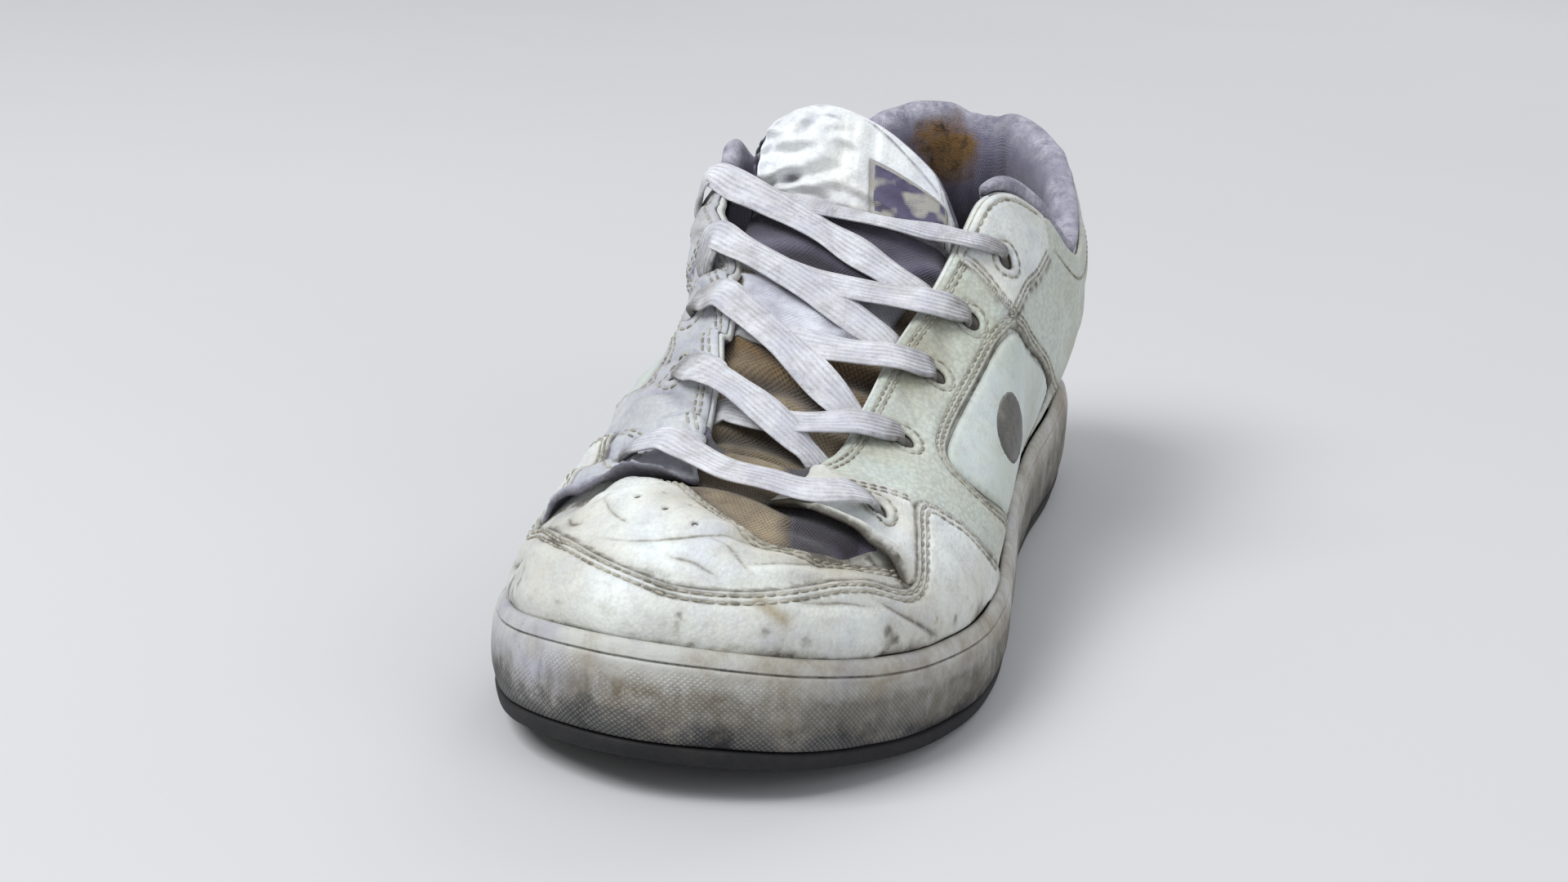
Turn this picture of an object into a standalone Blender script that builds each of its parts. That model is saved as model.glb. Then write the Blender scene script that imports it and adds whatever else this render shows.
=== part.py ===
"""A worn low leather sneaker for the left foot, standing on its sole."""
import bpy
import bmesh
import math
import numpy as np

MM = 0.001

# Driving sizes of the shoe, in millimetres
LENGTH = 298.0
CENTRE_X = 1.286
WALL = 2.4
GAP = 0.3
OVERLAY = 1.2
RIM_INSET = 5.5
CUP_INNER_INSET = 5.2
OUTSOLE_HEIGHT = 4.0
FLOOR_HEIGHT = 12.0
INSOLE_THICKNESS = 4.0
INSOLE_INSET = 8.5
TOE_SPRING = 9.0
SPRING_START = 0.70
HEEL_BEVEL = 2.0
HEEL_BEVEL_SHARE = 0.07
ARCH_LIFT = 2.5
ARCH_START = 0.34
ARCH_END = 0.54
GROOVE_WIDTH = 3.0
GROOVE_DEPTH = 2.0
EYELET_RADIUS = 2.2
LACE_WIDTH = 8.0
LACE_THICKNESS = 1.4
AROUND = 44
UPPER_ROWS = 7
LACE_CLEARANCE = 1.3
TONGUE_REST = 1.8

# Sole outline: u runs from the heel round the outer side to the toe (1) and back,
# x is the offset from the centre line in mm, share is the part of the length from the heel
OUTLINE = np.array([
    # u, x, share
    (0.00, 0.0, 0.000),
    (0.08, 22.0, 0.018),
    (0.16, 36.0, 0.085),
    (0.25, 40.5, 0.190),
    (0.36, 41.5, 0.320),
    (0.48, 45.0, 0.450),
    (0.60, 51.5, 0.580),
    (0.70, 56.0, 0.690),
    (0.79, 54.0, 0.790),
    (0.87, 44.5, 0.885),
    (0.94, 25.0, 0.968),
    (1.00, -4.0, 1.000),
    (1.06, -30.0, 0.968),
    (1.13, -46.0, 0.895),
    (1.21, -53.0, 0.800),
    (1.30, -52.0, 0.710),
    (1.40, -45.0, 0.600),
    (1.52, -37.0, 0.460),
    (1.64, -35.5, 0.330),
    (1.75, -37.5, 0.190),
    (1.84, -34.0, 0.085),
    (1.92, -21.0, 0.018),
])

# Sections of the upper: where each one ends at the collar or throat edge (x, share, z) and
# how far it leaves the sole and reaches the edge (out and up, out and down), in mm
SECTIONS = np.array([
    # u, x, share, z, out_rim, up_rim, out_edge, down_edge
    (0.00, 2.0, 0.045, 100.0, 6, 26, 3, 24),
    (0.08, 15.0, 0.052, 101.0, 6, 26, 4, 22),
    (0.16, 28.0, 0.095, 96.0, 7, 24, 5, 20),
    (0.25, 38.0, 0.165, 84.0, 8, 20, 5, 16),
    (0.33, 42.0, 0.235, 77.0, 8, 18, 5, 14),
    (0.40, 41.5, 0.290, 81.5, 7, 18, 6, 16),
    (0.46, 37.0, 0.345, 93.0, 6, 18, 8, 18),
    (0.50, 30.5, 0.390, 100.0, 5, 18, 10, 20),
    (0.54, 26.0, 0.420, 99.0, 5, 18, 13, 19),
    (0.58, 23.5, 0.450, 91.0, 4, 17, 15, 16),
    (0.63, 20.5, 0.495, 80.5, 4, 16, 16, 12),
    (0.70, 17.0, 0.570, 70.5, 3, 14, 17, 10),
    (0.78, 17.0, 0.660, 62.5, 3, 12, 17, 8),
    (0.85, 16.5, 0.735, 56.0, 3, 12, 17, 6),
    (0.90, 13.0, 0.775, 55.5, 3, 14, 18, 4),
    (1.00, 3.0, 0.790, 57.0, 3, 16, 20, 3),
    (1.08, -6.0, 0.790, 58.5, 2, 15, 18, 4),
    (1.14, -11.0, 0.765, 61.5, 2, 13, 16, 6),
    (1.20, -16.0, 0.690, 70.0, 2, 13, 15, 7),
    (1.30, -23.0, 0.590, 79.0, 2, 16, 14, 8),
    (1.40, -34.0, 0.500, 88.0, 3, 18, 10, 12),
    (1.46, -42.0, 0.440, 98.0, 3, 18, 7, 16),
    (1.50, -44.5, 0.410, 102.0, 3, 18, 5, 18),
    (1.56, -44.0, 0.365, 96.0, 3, 18, 4, 18),
    (1.64, -41.0, 0.280, 88.0, 4, 18, 4, 16),
    (1.75, -35.5, 0.165, 93.0, 5, 22, 4, 18),
    (1.84, -25.0, 0.085, 101.0, 6, 24, 4, 20),
    (1.92, -12.0, 0.052, 103.0, 6, 26, 3, 22),
])

# Height of the sidewall rim over the tread line
RIM = np.array([
    # share, height
    (0.00, 31.0),
    (0.15, 30.0),
    (0.45, 25.0),
    (0.72, 23.0),
    (0.90, 24.0),
    (1.00, 26.0),
])

# Panels laid on the upper: at each u the panel covers v from low to high,
# where v is 0 at the sole rim and 1 at the collar or throat edge
MUDGUARD = (
    # u, low, high
    (0.674, 0.03, 0.045),
    (0.700, 0.03, 0.168),
    (0.735, 0.03, 0.297),
    (0.777, 0.03, 0.462),
    (0.812, 0.03, 0.605),
    (0.822, 0.03, 0.570),
    (0.834, 0.03, 0.470),
    (0.845, 0.03, 0.330),
    (0.856, 0.03, 0.290),
    (0.888, 0.03, 0.350),
    (0.915, 0.03, 0.345),
    (0.953, 0.03, 0.255),
    (0.988, 0.03, 0.235),
    (1.028, 0.03, 0.295),
    (1.085, 0.03, 0.350),
    (1.112, 0.03, 0.350),
    (1.144, 0.03, 0.290),
    (1.155, 0.03, 0.330),
    (1.166, 0.03, 0.470),
    (1.178, 0.03, 0.570),
    (1.188, 0.03, 0.605),
    (1.223, 0.03, 0.462),
    (1.265, 0.03, 0.297),
    (1.300, 0.03, 0.168),
    (1.326, 0.03, 0.045),
)
WING = (
    # u, low, high
    (0.824, 0.600, 0.660),
    (0.835, 0.500, 0.718),
    (0.846, 0.360, 0.768),
    (0.854, 0.345, 0.795),
    (0.864, 0.420, 0.830),
    (0.875, 0.500, 0.866),
    (0.8865, 0.570, 0.890),
    (0.8885, 0.590, 0.985),
    (0.898, 0.695, 0.985),
    (0.912, 0.830, 0.985),
    (0.926, 0.895, 0.985),
)
QUARTER = (
    # u, low, high
    (0.276, 0.03, 0.050),
    (0.300, 0.03, 0.150),
    (0.360, 0.03, 0.290),
    (0.430, 0.03, 0.410),
    (0.492, 0.03, 0.500),
    (0.552, 0.03, 0.610),
    (0.584, 0.03, 0.735),
    (0.592, 0.03, 0.840),
    (0.600, 0.03, 0.930),
    (0.608, 0.03, 0.985),
    (0.660, 0.03, 0.985),
    (0.672, 0.055, 0.985),
    (0.700, 0.180, 0.985),
    (0.735, 0.308, 0.985),
    (0.777, 0.474, 0.985),
    (0.815, 0.630, 0.985),
    (0.845, 0.776, 0.985),
    (0.875, 0.875, 0.985),
    (0.884, 0.905, 0.985),
)
WINDOW = (
    # u, low, high
    (0.300, 0.075, 0.200),
    (0.360, 0.070, 0.400),
    (0.430, 0.070, 0.520),
    (0.500, 0.075, 0.600),
    (0.550, 0.085, 0.640),
    (0.580, 0.100, 0.655),
    (0.610, 0.140, 0.655),
    (0.655, 0.235, 0.655),
    (0.685, 0.325, 0.650),
    (0.715, 0.440, 0.645),
    (0.735, 0.535, 0.635),
    (0.744, 0.595, 0.625),
)
EYESTAY_TOP = (
    # u, low, high
    (0.462, 0.800, 0.985),
    (0.472, 0.750, 0.985),
    (0.490, 0.688, 0.985),
    (0.517, 0.643, 0.985),
    (0.545, 0.622, 0.985),
    (0.556, 0.640, 0.985),
    (0.576, 0.720, 0.985),
    (0.584, 0.790, 0.985),
    (0.592, 0.880, 0.985),
    (0.598, 0.955, 0.985),
)
HEEL_SIDE = (
    # u, low, high
    (0.000, 0.03, 0.985),
    (0.266, 0.03, 0.985),
    (0.300, 0.165, 0.985),
    (0.360, 0.303, 0.985),
    (0.430, 0.423, 0.985),
    (0.452, 0.455, 0.985),
    (0.458, 0.462, 0.790),
    (0.468, 0.477, 0.750),
    (0.486, 0.503, 0.684),
    (0.513, 0.552, 0.636),
    (0.536, 0.597, 0.614),
)

# Eyelet holes from the ankle down to the toe, given on the outer side
EYELETS = (
    # u, v
    (0.542, 0.790),
    (0.623, 0.800),
    (0.695, 0.800),
    (0.782, 0.785),
    (0.858, 0.670),
)

# Tongue stations inside the throat: the section line followed and the crown over the edges
TONGUE_THROAT = (
    # u, crown, thickness
    (0.925, -6.5, 2.2),
    (0.895, -2.0, 2.6),
    (0.850, 0.5, 3.2),
    (0.790, 1.0, 3.8),
    (0.730, 0.8, 4.4),
    (0.670, 0.6, 5.0),
    (0.620, 0.6, 6.0),
)

# Tongue stations over the throat: crossing points from the outer to the inner side
TONGUE_TOP = (
    # thickness, then x, share, z for each of six points across
    (7.5, (21, 0.452, 84), (16, 0.449, 88), (0, 0.445, 92), (-17, 0.443, 93), (-29, 0.441, 91.5), (-34, 0.442, 89)),
    (9.0, (20, 0.433, 91), (15, 0.429, 96), (-2, 0.423, 102), (-18, 0.420, 104), (-31, 0.420, 101), (-35, 0.422, 97)),
    (9.0, (17, 0.416, 95), (12, 0.411, 100.5), (-3, 0.405, 110), (-19, 0.404, 114), (-31, 0.408, 110), (-36, 0.413, 103)),
    (5.5, (15, 0.409, 99), (10, 0.404, 105), (-4, 0.397, 114), (-19, 0.395, 118), (-30, 0.399, 114), (-35, 0.405, 107)),
)

# Padded lining of the collar: a ring section given as v and depth, then rise and depth over the edge
LINING_INSIDE = (
    # v, depth
    (0.500, -4.4),
    (0.500, -3.0),
    (0.667, -3.0),
    (0.833, -3.0),
    (0.985, -3.0),
)
LINING_ROLL = (
    # rise, depth
    (0.7, -3.0),
    (0.7, -0.4),
    (1.8, -0.6),
    (2.6, -2.8),
    (1.6, -6.2),
)
LINING_FACE = (
    # v, depth
    (0.92, -8.4),
    (0.76, -8.6),
    (0.61, -6.8),
)
LINING_HALF = 9

# Tread grooves across the outsole, by their share of the length from the heel
GROOVES = (0.12, 0.18, 0.24, 0.30, 0.58, 0.64, 0.70, 0.76, 0.82, 0.88)


def periodic(table, column, u):
    """Smooth closed curve through one column of a table over u, with period 2."""
    u = np.mod(np.asarray(u, float), 2.0)
    keys = table[:, 0]
    values = table[:, column]
    keys = np.concatenate([keys[-2:] - 2.0, keys, keys[:2] + 2.0])
    values = np.concatenate([values[-2:], values, values[:2]])
    step = np.diff(keys)
    slope = np.diff(values) / step
    tangent = np.zeros(len(keys))
    tangent[1:-1] = (slope[1:] * step[:-1] + slope[:-1] * step[1:]) / (step[1:] + step[:-1])
    i = np.clip(np.searchsorted(keys, u, side="right") - 1, 1, len(keys) - 3)
    t = (u - keys[i]) / step[i]
    start = (2 * t**3 - 3 * t**2 + 1) * values[i] + (t**3 - 2 * t**2 + t) * step[i] * tangent[i]
    end = (3 * t**2 - 2 * t**3) * values[i + 1] + (t**3 - t**2) * step[i] * tangent[i + 1]
    return start + end


def along(share):
    """Distance along the shoe in mm: heel positive, toe negative."""
    return LENGTH / 2 - np.asarray(share, float) * LENGTH


def outline(u, inset):
    """Points of the sole outline moved inwards, and the outward direction there."""
    x = periodic(OUTLINE, 1, u)
    y = along(periodic(OUTLINE, 2, u))
    reach = 0.001
    dx = periodic(OUTLINE, 1, u + reach) - periodic(OUTLINE, 1, u - reach)
    dy = along(periodic(OUTLINE, 2, u + reach)) - along(periodic(OUTLINE, 2, u - reach))
    size = np.hypot(dx, dy)
    nx = -dy / size
    ny = dx / size
    return x - inset * nx, y - inset * ny, nx, ny


def tread(share):
    """Height of the tread line: toe spring, heel bevel and the lifted arch."""
    share = np.asarray(share, float)
    toe = TOE_SPRING * (np.clip(share - SPRING_START, 0, None) / (1 - SPRING_START)) ** 2
    heel = HEEL_BEVEL * (np.clip(HEEL_BEVEL_SHARE - share, 0, None) / HEEL_BEVEL_SHARE) ** 2
    arch = np.clip((share - ARCH_START) / (ARCH_END - ARCH_START), 0, 1)
    return toe + heel + ARCH_LIFT * np.sin(math.pi * arch) ** 2


def spring(share):
    """Toe spring and heel bevel of the sidewall, without the arch."""
    share = np.asarray(share, float)
    toe = TOE_SPRING * (np.clip(share - SPRING_START, 0, None) / (1 - SPRING_START)) ** 2
    return toe + HEEL_BEVEL * (np.clip(HEEL_BEVEL_SHARE - share, 0, None) / HEEL_BEVEL_SHARE) ** 2


def rim_height(share):
    """Height of the sidewall rim over the ground."""
    return np.interp(share, RIM[:, 0], RIM[:, 1]) + spring(share)


def upper_skin(u, v):
    """Outer skin of the upper: one cubic section from the sole rim to the edge for every u."""
    x0, y0, nx, ny = outline(u, RIM_INSET)
    z0 = rim_height(periodic(OUTLINE, 2, u))
    x3, share, z3, out_rim, up_rim, out_edge, down_edge = (periodic(SECTIONS, c, u) for c in range(1, 8))
    y3 = along(share)
    b0 = (1 - v) ** 3
    b1 = 3 * (1 - v) ** 2 * v
    b2 = 3 * (1 - v) * v**2
    b3 = v**3
    x = b0 * x0 + b1 * (x0 + out_rim * nx) + b2 * (x3 + out_edge * nx) + b3 * x3
    y = b0 * y0 + b1 * (y0 + out_rim * ny) + b2 * (y3 + out_edge * ny) + b3 * y3
    z = b0 * z0 + b1 * (z0 + up_rim) + b2 * (z3 - down_edge) + b3 * z3
    return np.stack([x, y, z], axis=-1)


def upper(u, v, depth):
    """Point of the upper moved along its outward normal by depth, in mm."""
    u = np.asarray(u, float)
    v = np.asarray(v, float)
    reach = 0.004
    across = upper_skin(u + reach, v) - upper_skin(u - reach, v)
    low = np.clip(v - reach, 0, 1)
    high = np.clip(v + reach, 0, 1)
    rise = upper_skin(u, high) - upper_skin(u, low)
    normal = np.cross(rise, across)
    normal = normal / np.linalg.norm(normal, axis=-1, keepdims=True)
    return upper_skin(u, v) + normal * np.asarray(depth, float)[..., None]


def add_object(name, points, faces, material):
    """Make one closed object from points in mm and faces, with its faces turned outwards."""
    mesh = bpy.data.meshes.new(name)
    points = (np.asarray(points, float) - (CENTRE_X, 0, 0)) * MM
    mesh.from_pydata([tuple(p) for p in points], [], faces)
    body = bmesh.new()
    body.from_mesh(mesh)
    bmesh.ops.remove_doubles(body, verts=body.verts, dist=0.00001)
    bmesh.ops.triangulate(body, faces=body.faces)
    bmesh.ops.recalc_face_normals(body, faces=body.faces)
    body.to_mesh(mesh)
    body.free()
    item = bpy.data.objects.new(name, mesh)
    bpy.context.collection.objects.link(item)
    if material:
        mesh.materials.append(material)
    for face in mesh.polygons:
        face.use_smooth = True
    return item


def add_material(name, colour, roughness, metallic=0.0):
    """Plain shader with the colour, roughness and metallic of one substance."""
    material = bpy.data.materials.new(name)
    material.use_nodes = True
    shader = material.node_tree.nodes["Principled BSDF"]
    shader.inputs["Base Color"].default_value = (*colour, 1.0)
    shader.inputs["Roughness"].default_value = roughness
    shader.inputs["Metallic"].default_value = metallic
    material.diffuse_color = (*colour, 1.0)
    return material


def tidy(item, distance=0.000004):
    """Merge the slivers a Boolean leaves and keep faces outwards."""
    body = bmesh.new()
    body.from_mesh(item.data)
    bmesh.ops.remove_doubles(body, verts=body.verts, dist=distance)
    bmesh.ops.dissolve_degenerate(body, edges=body.edges, dist=0.000002)
    bmesh.ops.triangulate(body, faces=body.faces)
    bmesh.ops.recalc_face_normals(body, faces=body.faces)
    body.to_mesh(item.data)
    body.free()
    for face in item.data.polygons:
        face.use_smooth = True
    return item


def combine(target, tool, operation, solver="EXACT"):
    """Apply one Boolean to the target and remove the tool."""
    modifier = target.modifiers.new(operation.lower(), "BOOLEAN")
    modifier.operation = operation
    modifier.solver = solver
    modifier.object = tool
    bpy.context.view_layer.update()
    depsgraph = bpy.context.evaluated_depsgraph_get()
    result = bpy.data.meshes.new_from_object(target.evaluated_get(depsgraph))
    target.modifiers.clear()
    target.data = result
    bpy.data.objects.remove(tool, do_unlink=True)
    return tidy(target)


def grid_faces(rows, columns, closed):
    """Quads of a grid whose rows are stored one after another."""
    faces = []
    last = columns if closed else columns - 1
    for r in range(rows - 1):
        for c in range(last):
            d = (c + 1) % columns
            faces.append((r * columns + c, r * columns + d, (r + 1) * columns + d, (r + 1) * columns + c))
    return faces


def ring_body(rings):
    """Points and faces of a closed band: rings of equal size joined in order and back to the first."""
    columns = len(rings[0])
    points = np.concatenate(rings)
    faces = grid_faces(len(rings), columns, True)
    base = (len(rings) - 1) * columns
    for c in range(columns):
        d = (c + 1) % columns
        faces.append((base + c, base + d, d, c))
    return points, faces


def slab(front, back):
    """Points and faces of a plate between two grids of equal size, closed round its border."""
    rows, columns, _ = front.shape
    points = np.concatenate([front.reshape(-1, 3), back.reshape(-1, 3)])
    count = rows * columns
    faces = grid_faces(rows, columns, False)
    faces += [tuple(i + count for i in reversed(face)) for face in grid_faces(rows, columns, False)]
    border = [c for c in range(columns)]
    border += [r * columns + columns - 1 for r in range(1, rows)]
    border += [(rows - 1) * columns + c for c in range(columns - 2, -1, -1)]
    border += [r * columns for r in range(rows - 2, 0, -1)]
    for i, a in enumerate(border):
        b = border[(i + 1) % len(border)]
        faces.append((b, a, a + count, b + count))
    return points, faces


def ladder(start, columns, flip):
    """Faces across a ring, from the outer side to the inner side, rung by rung."""
    faces = []
    for i in range(columns // 2):
        a = start + i
        b = start + i + 1
        c = start + (columns - i - 1) % columns
        d = start + (columns - i) % columns
        face = [a, b, c, d] if i < columns // 2 else [a, b, c]
        face = list(dict.fromkeys(face))
        faces.append(tuple(reversed(face)) if flip else tuple(face))
    return faces


def sole_ring(u, inset, height):
    """Ring of sole points at one inset and one height for every u."""
    x, y, _, _ = outline(u, inset)
    return np.stack([x, y, height], axis=-1)


def around():
    """The u of every section line, spaced evenly along the foot."""
    turn = np.arange(AROUND) * 2.0 / AROUND
    return turn + 0.1 * np.sin(math.pi * turn)


def build_outsole(material):
    """Rubber outsole with its tread grooves and lifted arch."""
    u = around()
    share = periodic(OUTLINE, 2, u)
    low = tread(share)
    high = spring(share) + OUTSOLE_HEIGHT
    rings = [
        sole_ring(u, 2.6, low),
        sole_ring(u, 1.4, low + 1.0),
        sole_ring(u, 1.0, high - 0.4),
        sole_ring(u, 1.8, high),
    ]
    points = np.concatenate(rings)
    faces = grid_faces(len(rings), AROUND, True)
    faces += ladder(0, AROUND, True)
    faces += ladder((len(rings) - 1) * AROUND, AROUND, False)
    body = add_object("outsole", points, faces, material)
    bars = []
    bar_faces = []
    for share_line in GROOVES:
        y = float(along(share_line))
        floor = float(tread(share_line))
        slope = float(tread(share_line - 0.01) - tread(share_line + 0.01)) / (0.02 * LENGTH)
        start = len(bars)
        for x in (-70.0, 70.0):
            for dy, dz in ((-1, -6.0), (1, -6.0), (1, GROOVE_DEPTH), (-1, GROOVE_DEPTH)):
                offset = dy * GROOVE_WIDTH / 2
                bars.append((x, y + offset, floor + dz + slope * offset))
        bar_faces += [tuple(start + i for i in face) for face in (
            (0, 1, 2, 3), (7, 6, 5, 4), (0, 4, 5, 1), (1, 5, 6, 2), (2, 6, 7, 3), (3, 7, 4, 0))]
    cutter = add_object("grooves", bars, bar_faces, None)
    return combine(body, cutter, "DIFFERENCE")


def build_cup(material):
    """Rubber sidewall with its rim groove, and the footbed floor inside it."""
    u = around()
    share = periodic(OUTLINE, 2, u)
    base = spring(share)
    rim = rim_height(share)
    floor = base + FLOOR_HEIGHT
    rings = [
        sole_ring(u, 2.0, base + OUTSOLE_HEIGHT + GAP),
        sole_ring(u, 0.7, base + OUTSOLE_HEIGHT + 2.0),
        sole_ring(u, 0.0, base + 11.0),
        sole_ring(u, 0.7, rim - 5.0),
        sole_ring(u, 1.7, rim - 4.4),
        sole_ring(u, 1.1, rim - 3.8),
        sole_ring(u, 2.4, rim - 0.9),
        sole_ring(u, CUP_INNER_INSET, rim - 0.7),
        sole_ring(u, CUP_INNER_INSET, floor),
    ]
    points = np.concatenate(rings)
    faces = grid_faces(len(rings), AROUND, True)
    faces += ladder(0, AROUND, True)
    faces += ladder((len(rings) - 1) * AROUND, AROUND, False)
    return add_object("cupsole", points, faces, material)


def build_insole(material):
    """Foam insole lying on the footbed floor inside the upper."""
    u = around()
    base = spring(periodic(OUTLINE, 2, u)) + FLOOR_HEIGHT + GAP
    rings = [
        sole_ring(u, INSOLE_INSET + 0.8, base),
        sole_ring(u, INSOLE_INSET, base + 1.0),
        sole_ring(u, INSOLE_INSET, base + INSOLE_THICKNESS - 0.8),
        sole_ring(u, INSOLE_INSET + 1.5, base + INSOLE_THICKNESS),
    ]
    points = np.concatenate(rings)
    faces = grid_faces(len(rings), AROUND, True)
    faces += ladder(0, AROUND, True)
    faces += ladder((len(rings) - 1) * AROUND, AROUND, False)
    return add_object("insole", points, faces, material)


def build_upper(material):
    """Hollow base of the upper: vamp, toe box and side, open at the collar and underneath."""
    u = around()
    floor = spring(periodic(OUTLINE, 2, u)) + FLOOR_HEIGHT + GAP
    levels = np.linspace(0, 1, UPPER_ROWS)
    outer = [sole_ring(u, RIM_INSET, floor)]
    outer += [upper(u, np.full(AROUND, v), np.zeros(AROUND)) for v in levels]
    inner = [upper(u, np.full(AROUND, v), np.full(AROUND, -WALL)) for v in levels[::-1]]
    inner += [sole_ring(u, RIM_INSET + WALL, floor)]
    points, faces = ring_body(outer + inner)
    return add_object("upper", points, faces, material)


def overlay_shell():
    """Thin band over the upper from which the panels are cut."""
    u = around()
    levels = np.linspace(0, 1, UPPER_ROWS)
    inner = [upper(u, np.full(AROUND, v), np.full(AROUND, GAP)) for v in levels]
    outer = [upper(u, np.full(AROUND, v), np.full(AROUND, GAP + OVERLAY)) for v in levels[::-1]]
    points, faces = ring_body(inner + outer)
    return add_object("shell", points, faces, None)


def strip_cutter(table, mirrored=False, rows=7):
    """Thick block standing on the upper over the u and v a table covers."""
    table = np.array(table, float)
    if mirrored:
        table = table[::-1].copy()
        table[:, 0] = 2.0 - table[:, 0]
    knots = []
    for a, b in zip(table[:-1], table[1:]):
        count = max(1, int(math.ceil((b[0] - a[0]) / 0.07)))
        knots += [a + (b - a) * k / count for k in range(count)]
    knots = np.array(knots + [table[-1]])
    share = np.linspace(0, 1, rows)[:, None]
    v = knots[:, 1] + (knots[:, 2] - knots[:, 1]) * share
    u = np.broadcast_to(knots[:, 0], v.shape)
    front = upper(u, v, np.full(v.shape, 5.0))
    back = upper(u, v, np.full(v.shape, -2.0))
    points, faces = slab(front, back)
    return add_object("cutter", points, faces, None)


def panel(name, table, material, mirrored=False, window=None):
    """One leather panel: the shell inside its table, less any window."""
    piece = combine(overlay_shell(), strip_cutter(table, mirrored), "INTERSECT")
    if window:
        piece = combine(piece, strip_cutter(window, mirrored), "DIFFERENCE")
    piece.name = name
    piece.data.name = name
    piece.data.materials.clear()
    piece.data.materials.append(material)
    return piece


def eyelet_cutter(u, v):
    """Round bar through the upper at one eyelet."""
    centre = upper(u, v, 0.0)
    axis = upper(u, v, 1.0) - centre
    side = upper(u + 0.01, v, 0.0) - centre
    side = side - axis * float(np.dot(side, axis))
    side = side / np.linalg.norm(side)
    other = np.cross(axis, side)
    turn = np.arange(8) * 2 * math.pi / 8
    ring = np.cos(turn)[:, None] * side + np.sin(turn)[:, None] * other
    points = np.concatenate([centre + axis * reach + ring * EYELET_RADIUS for reach in (-4.0, 4.0)])
    faces = [tuple(range(7, -1, -1)), tuple(range(8, 16))]
    faces += [(i, (i + 1) % 8, 8 + (i + 1) % 8, 8 + i) for i in range(8)]
    return add_object("punch", points, faces, None)


def punch(item, spots):
    """Cut the eyelet holes through one piece."""
    for u, v in spots:
        item = combine(item, eyelet_cutter(u, v), "DIFFERENCE")
    return item


def build_lining(material):
    """Padded collar lining from one throat corner round the heel to the other."""
    half = around()[:LINING_HALF + 1]
    u = np.concatenate([-half[:0:-1], half])
    fade = np.clip((half[-1] - np.abs(u)) / 0.12, 0, 1)
    plump = 0.25 + 0.75 * fade**0.7
    edge = upper(u, np.ones_like(u), np.zeros_like(u))

    def depth_of(value):
        return -(WALL + 2 * GAP) + (value + WALL + 2 * GAP) * plump

    sections = [upper(u, np.full_like(u, v), depth_of(d)) for v, d in LINING_INSIDE]
    for rise, d in LINING_ROLL:
        reach = d * np.ones_like(u) if d > -4 else depth_of(d)
        over = upper(u, np.ones_like(u), reach)
        over[:, 2] += rise if rise < 1 else 0.7 + (rise - 0.7) * (0.4 + 0.6 * plump)
        sections.append(over)
    sections += [upper(u, np.full_like(u, v), depth_of(d)) for v, d in LINING_FACE]
    rings = [np.array(ring) for ring in zip(*sections)]
    size = len(rings[0])
    points = np.concatenate(rings)
    faces = grid_faces(len(rings), size, True)
    faces.append(tuple(range(size - 1, -1, -1)))
    faces.append(tuple((len(rings) - 1) * size + i for i in range(size)))
    return add_object("collar_lining", points, faces, material)


def tongue_rows():
    """Top and bottom crossing points of every tongue station."""
    top = []
    bottom = []
    for u, crown, thickness in TONGUE_THROAT:
        ends = []
        for depth in (-(WALL + TONGUE_REST), -(WALL + TONGUE_REST + thickness)):
            outer = upper([u, u], [0.88, 1.0], [depth - 0.8, depth])
            inner = upper([2 - u, 2 - u], [1.0, 0.88], [depth, depth - 0.8])
            lift = np.array([0, -0.35, 0.94]) * crown
            third = outer[1] + (inner[0] - outer[1]) / 3 + lift
            other = outer[1] + (inner[0] - outer[1]) * 2 / 3 + lift
            ends.append(np.array([outer[0], outer[1], third, other, inner[0], inner[1]]))
        top.append(ends[0])
        bottom.append(ends[1])
    for thickness, *row in TONGUE_TOP:
        crossing = np.array([(x, float(along(share)), z) for x, share, z in row], float)
        top.append(crossing)
        bottom.append(crossing + np.array([0.0, 0.97, -0.25]) * thickness)
    return np.array(top), np.array(bottom)


def smooth_line(points, at):
    """Smooth open curve through points, sampled at places from 0 to 1."""
    points = np.asarray(points, float)
    last = len(points) - 1
    ends = np.concatenate([[2 * points[0] - points[1]], points, [2 * points[-1] - points[-2]]])
    place = np.clip(np.asarray(at, float), 0, 1) * last
    i = np.minimum(place.astype(int), last - 1)
    shape = (-1,) + (1,) * (points.ndim - 1)
    t = (place - i).reshape(shape)
    a, b, c, d = ends[i], ends[i + 1], ends[i + 2], ends[i + 3]
    return 0.5 * (2 * b + (c - a) * t + (2 * a - 5 * b + 4 * c - d) * t**2 + (3 * b - a - 3 * c + d) * t**3)


def tongue_grid(along_it, across_it, lift_top, lift_bottom=None):
    """Front and back grids of the tongue, or of something lying on it, at given places."""
    top, bottom = tongue_rows()
    front = smooth_line(top, along_it)
    back = smooth_line(bottom, along_it)
    front = np.swapaxes(smooth_line(np.swapaxes(front, 0, 1), across_it), 0, 1)
    back = np.swapaxes(smooth_line(np.swapaxes(back, 0, 1), across_it), 0, 1)
    away = front - back
    away = away / np.linalg.norm(away, axis=-1, keepdims=True)
    if lift_bottom is None:
        return front + away * lift_top, back
    return front + away * lift_top, front + away * lift_bottom


def build_tongue(material):
    """Padded tongue from under the vamp up between the collar corners."""
    front, back = tongue_grid(np.linspace(0, 1, 14), np.linspace(0, 1, 10), 0.0)
    points, faces = slab(front, back)
    return add_object("tongue", points, faces, material)


def build_on_tongue(name, rows, columns, thickness, material):
    """Thin plate lying on the tongue between the given places."""
    front, back = tongue_grid(np.linspace(*rows, 4), np.linspace(*columns, 6), 0.5 + thickness, 0.5)
    points, faces = slab(front, back)
    return add_object(name, points, faces, material)


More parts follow.
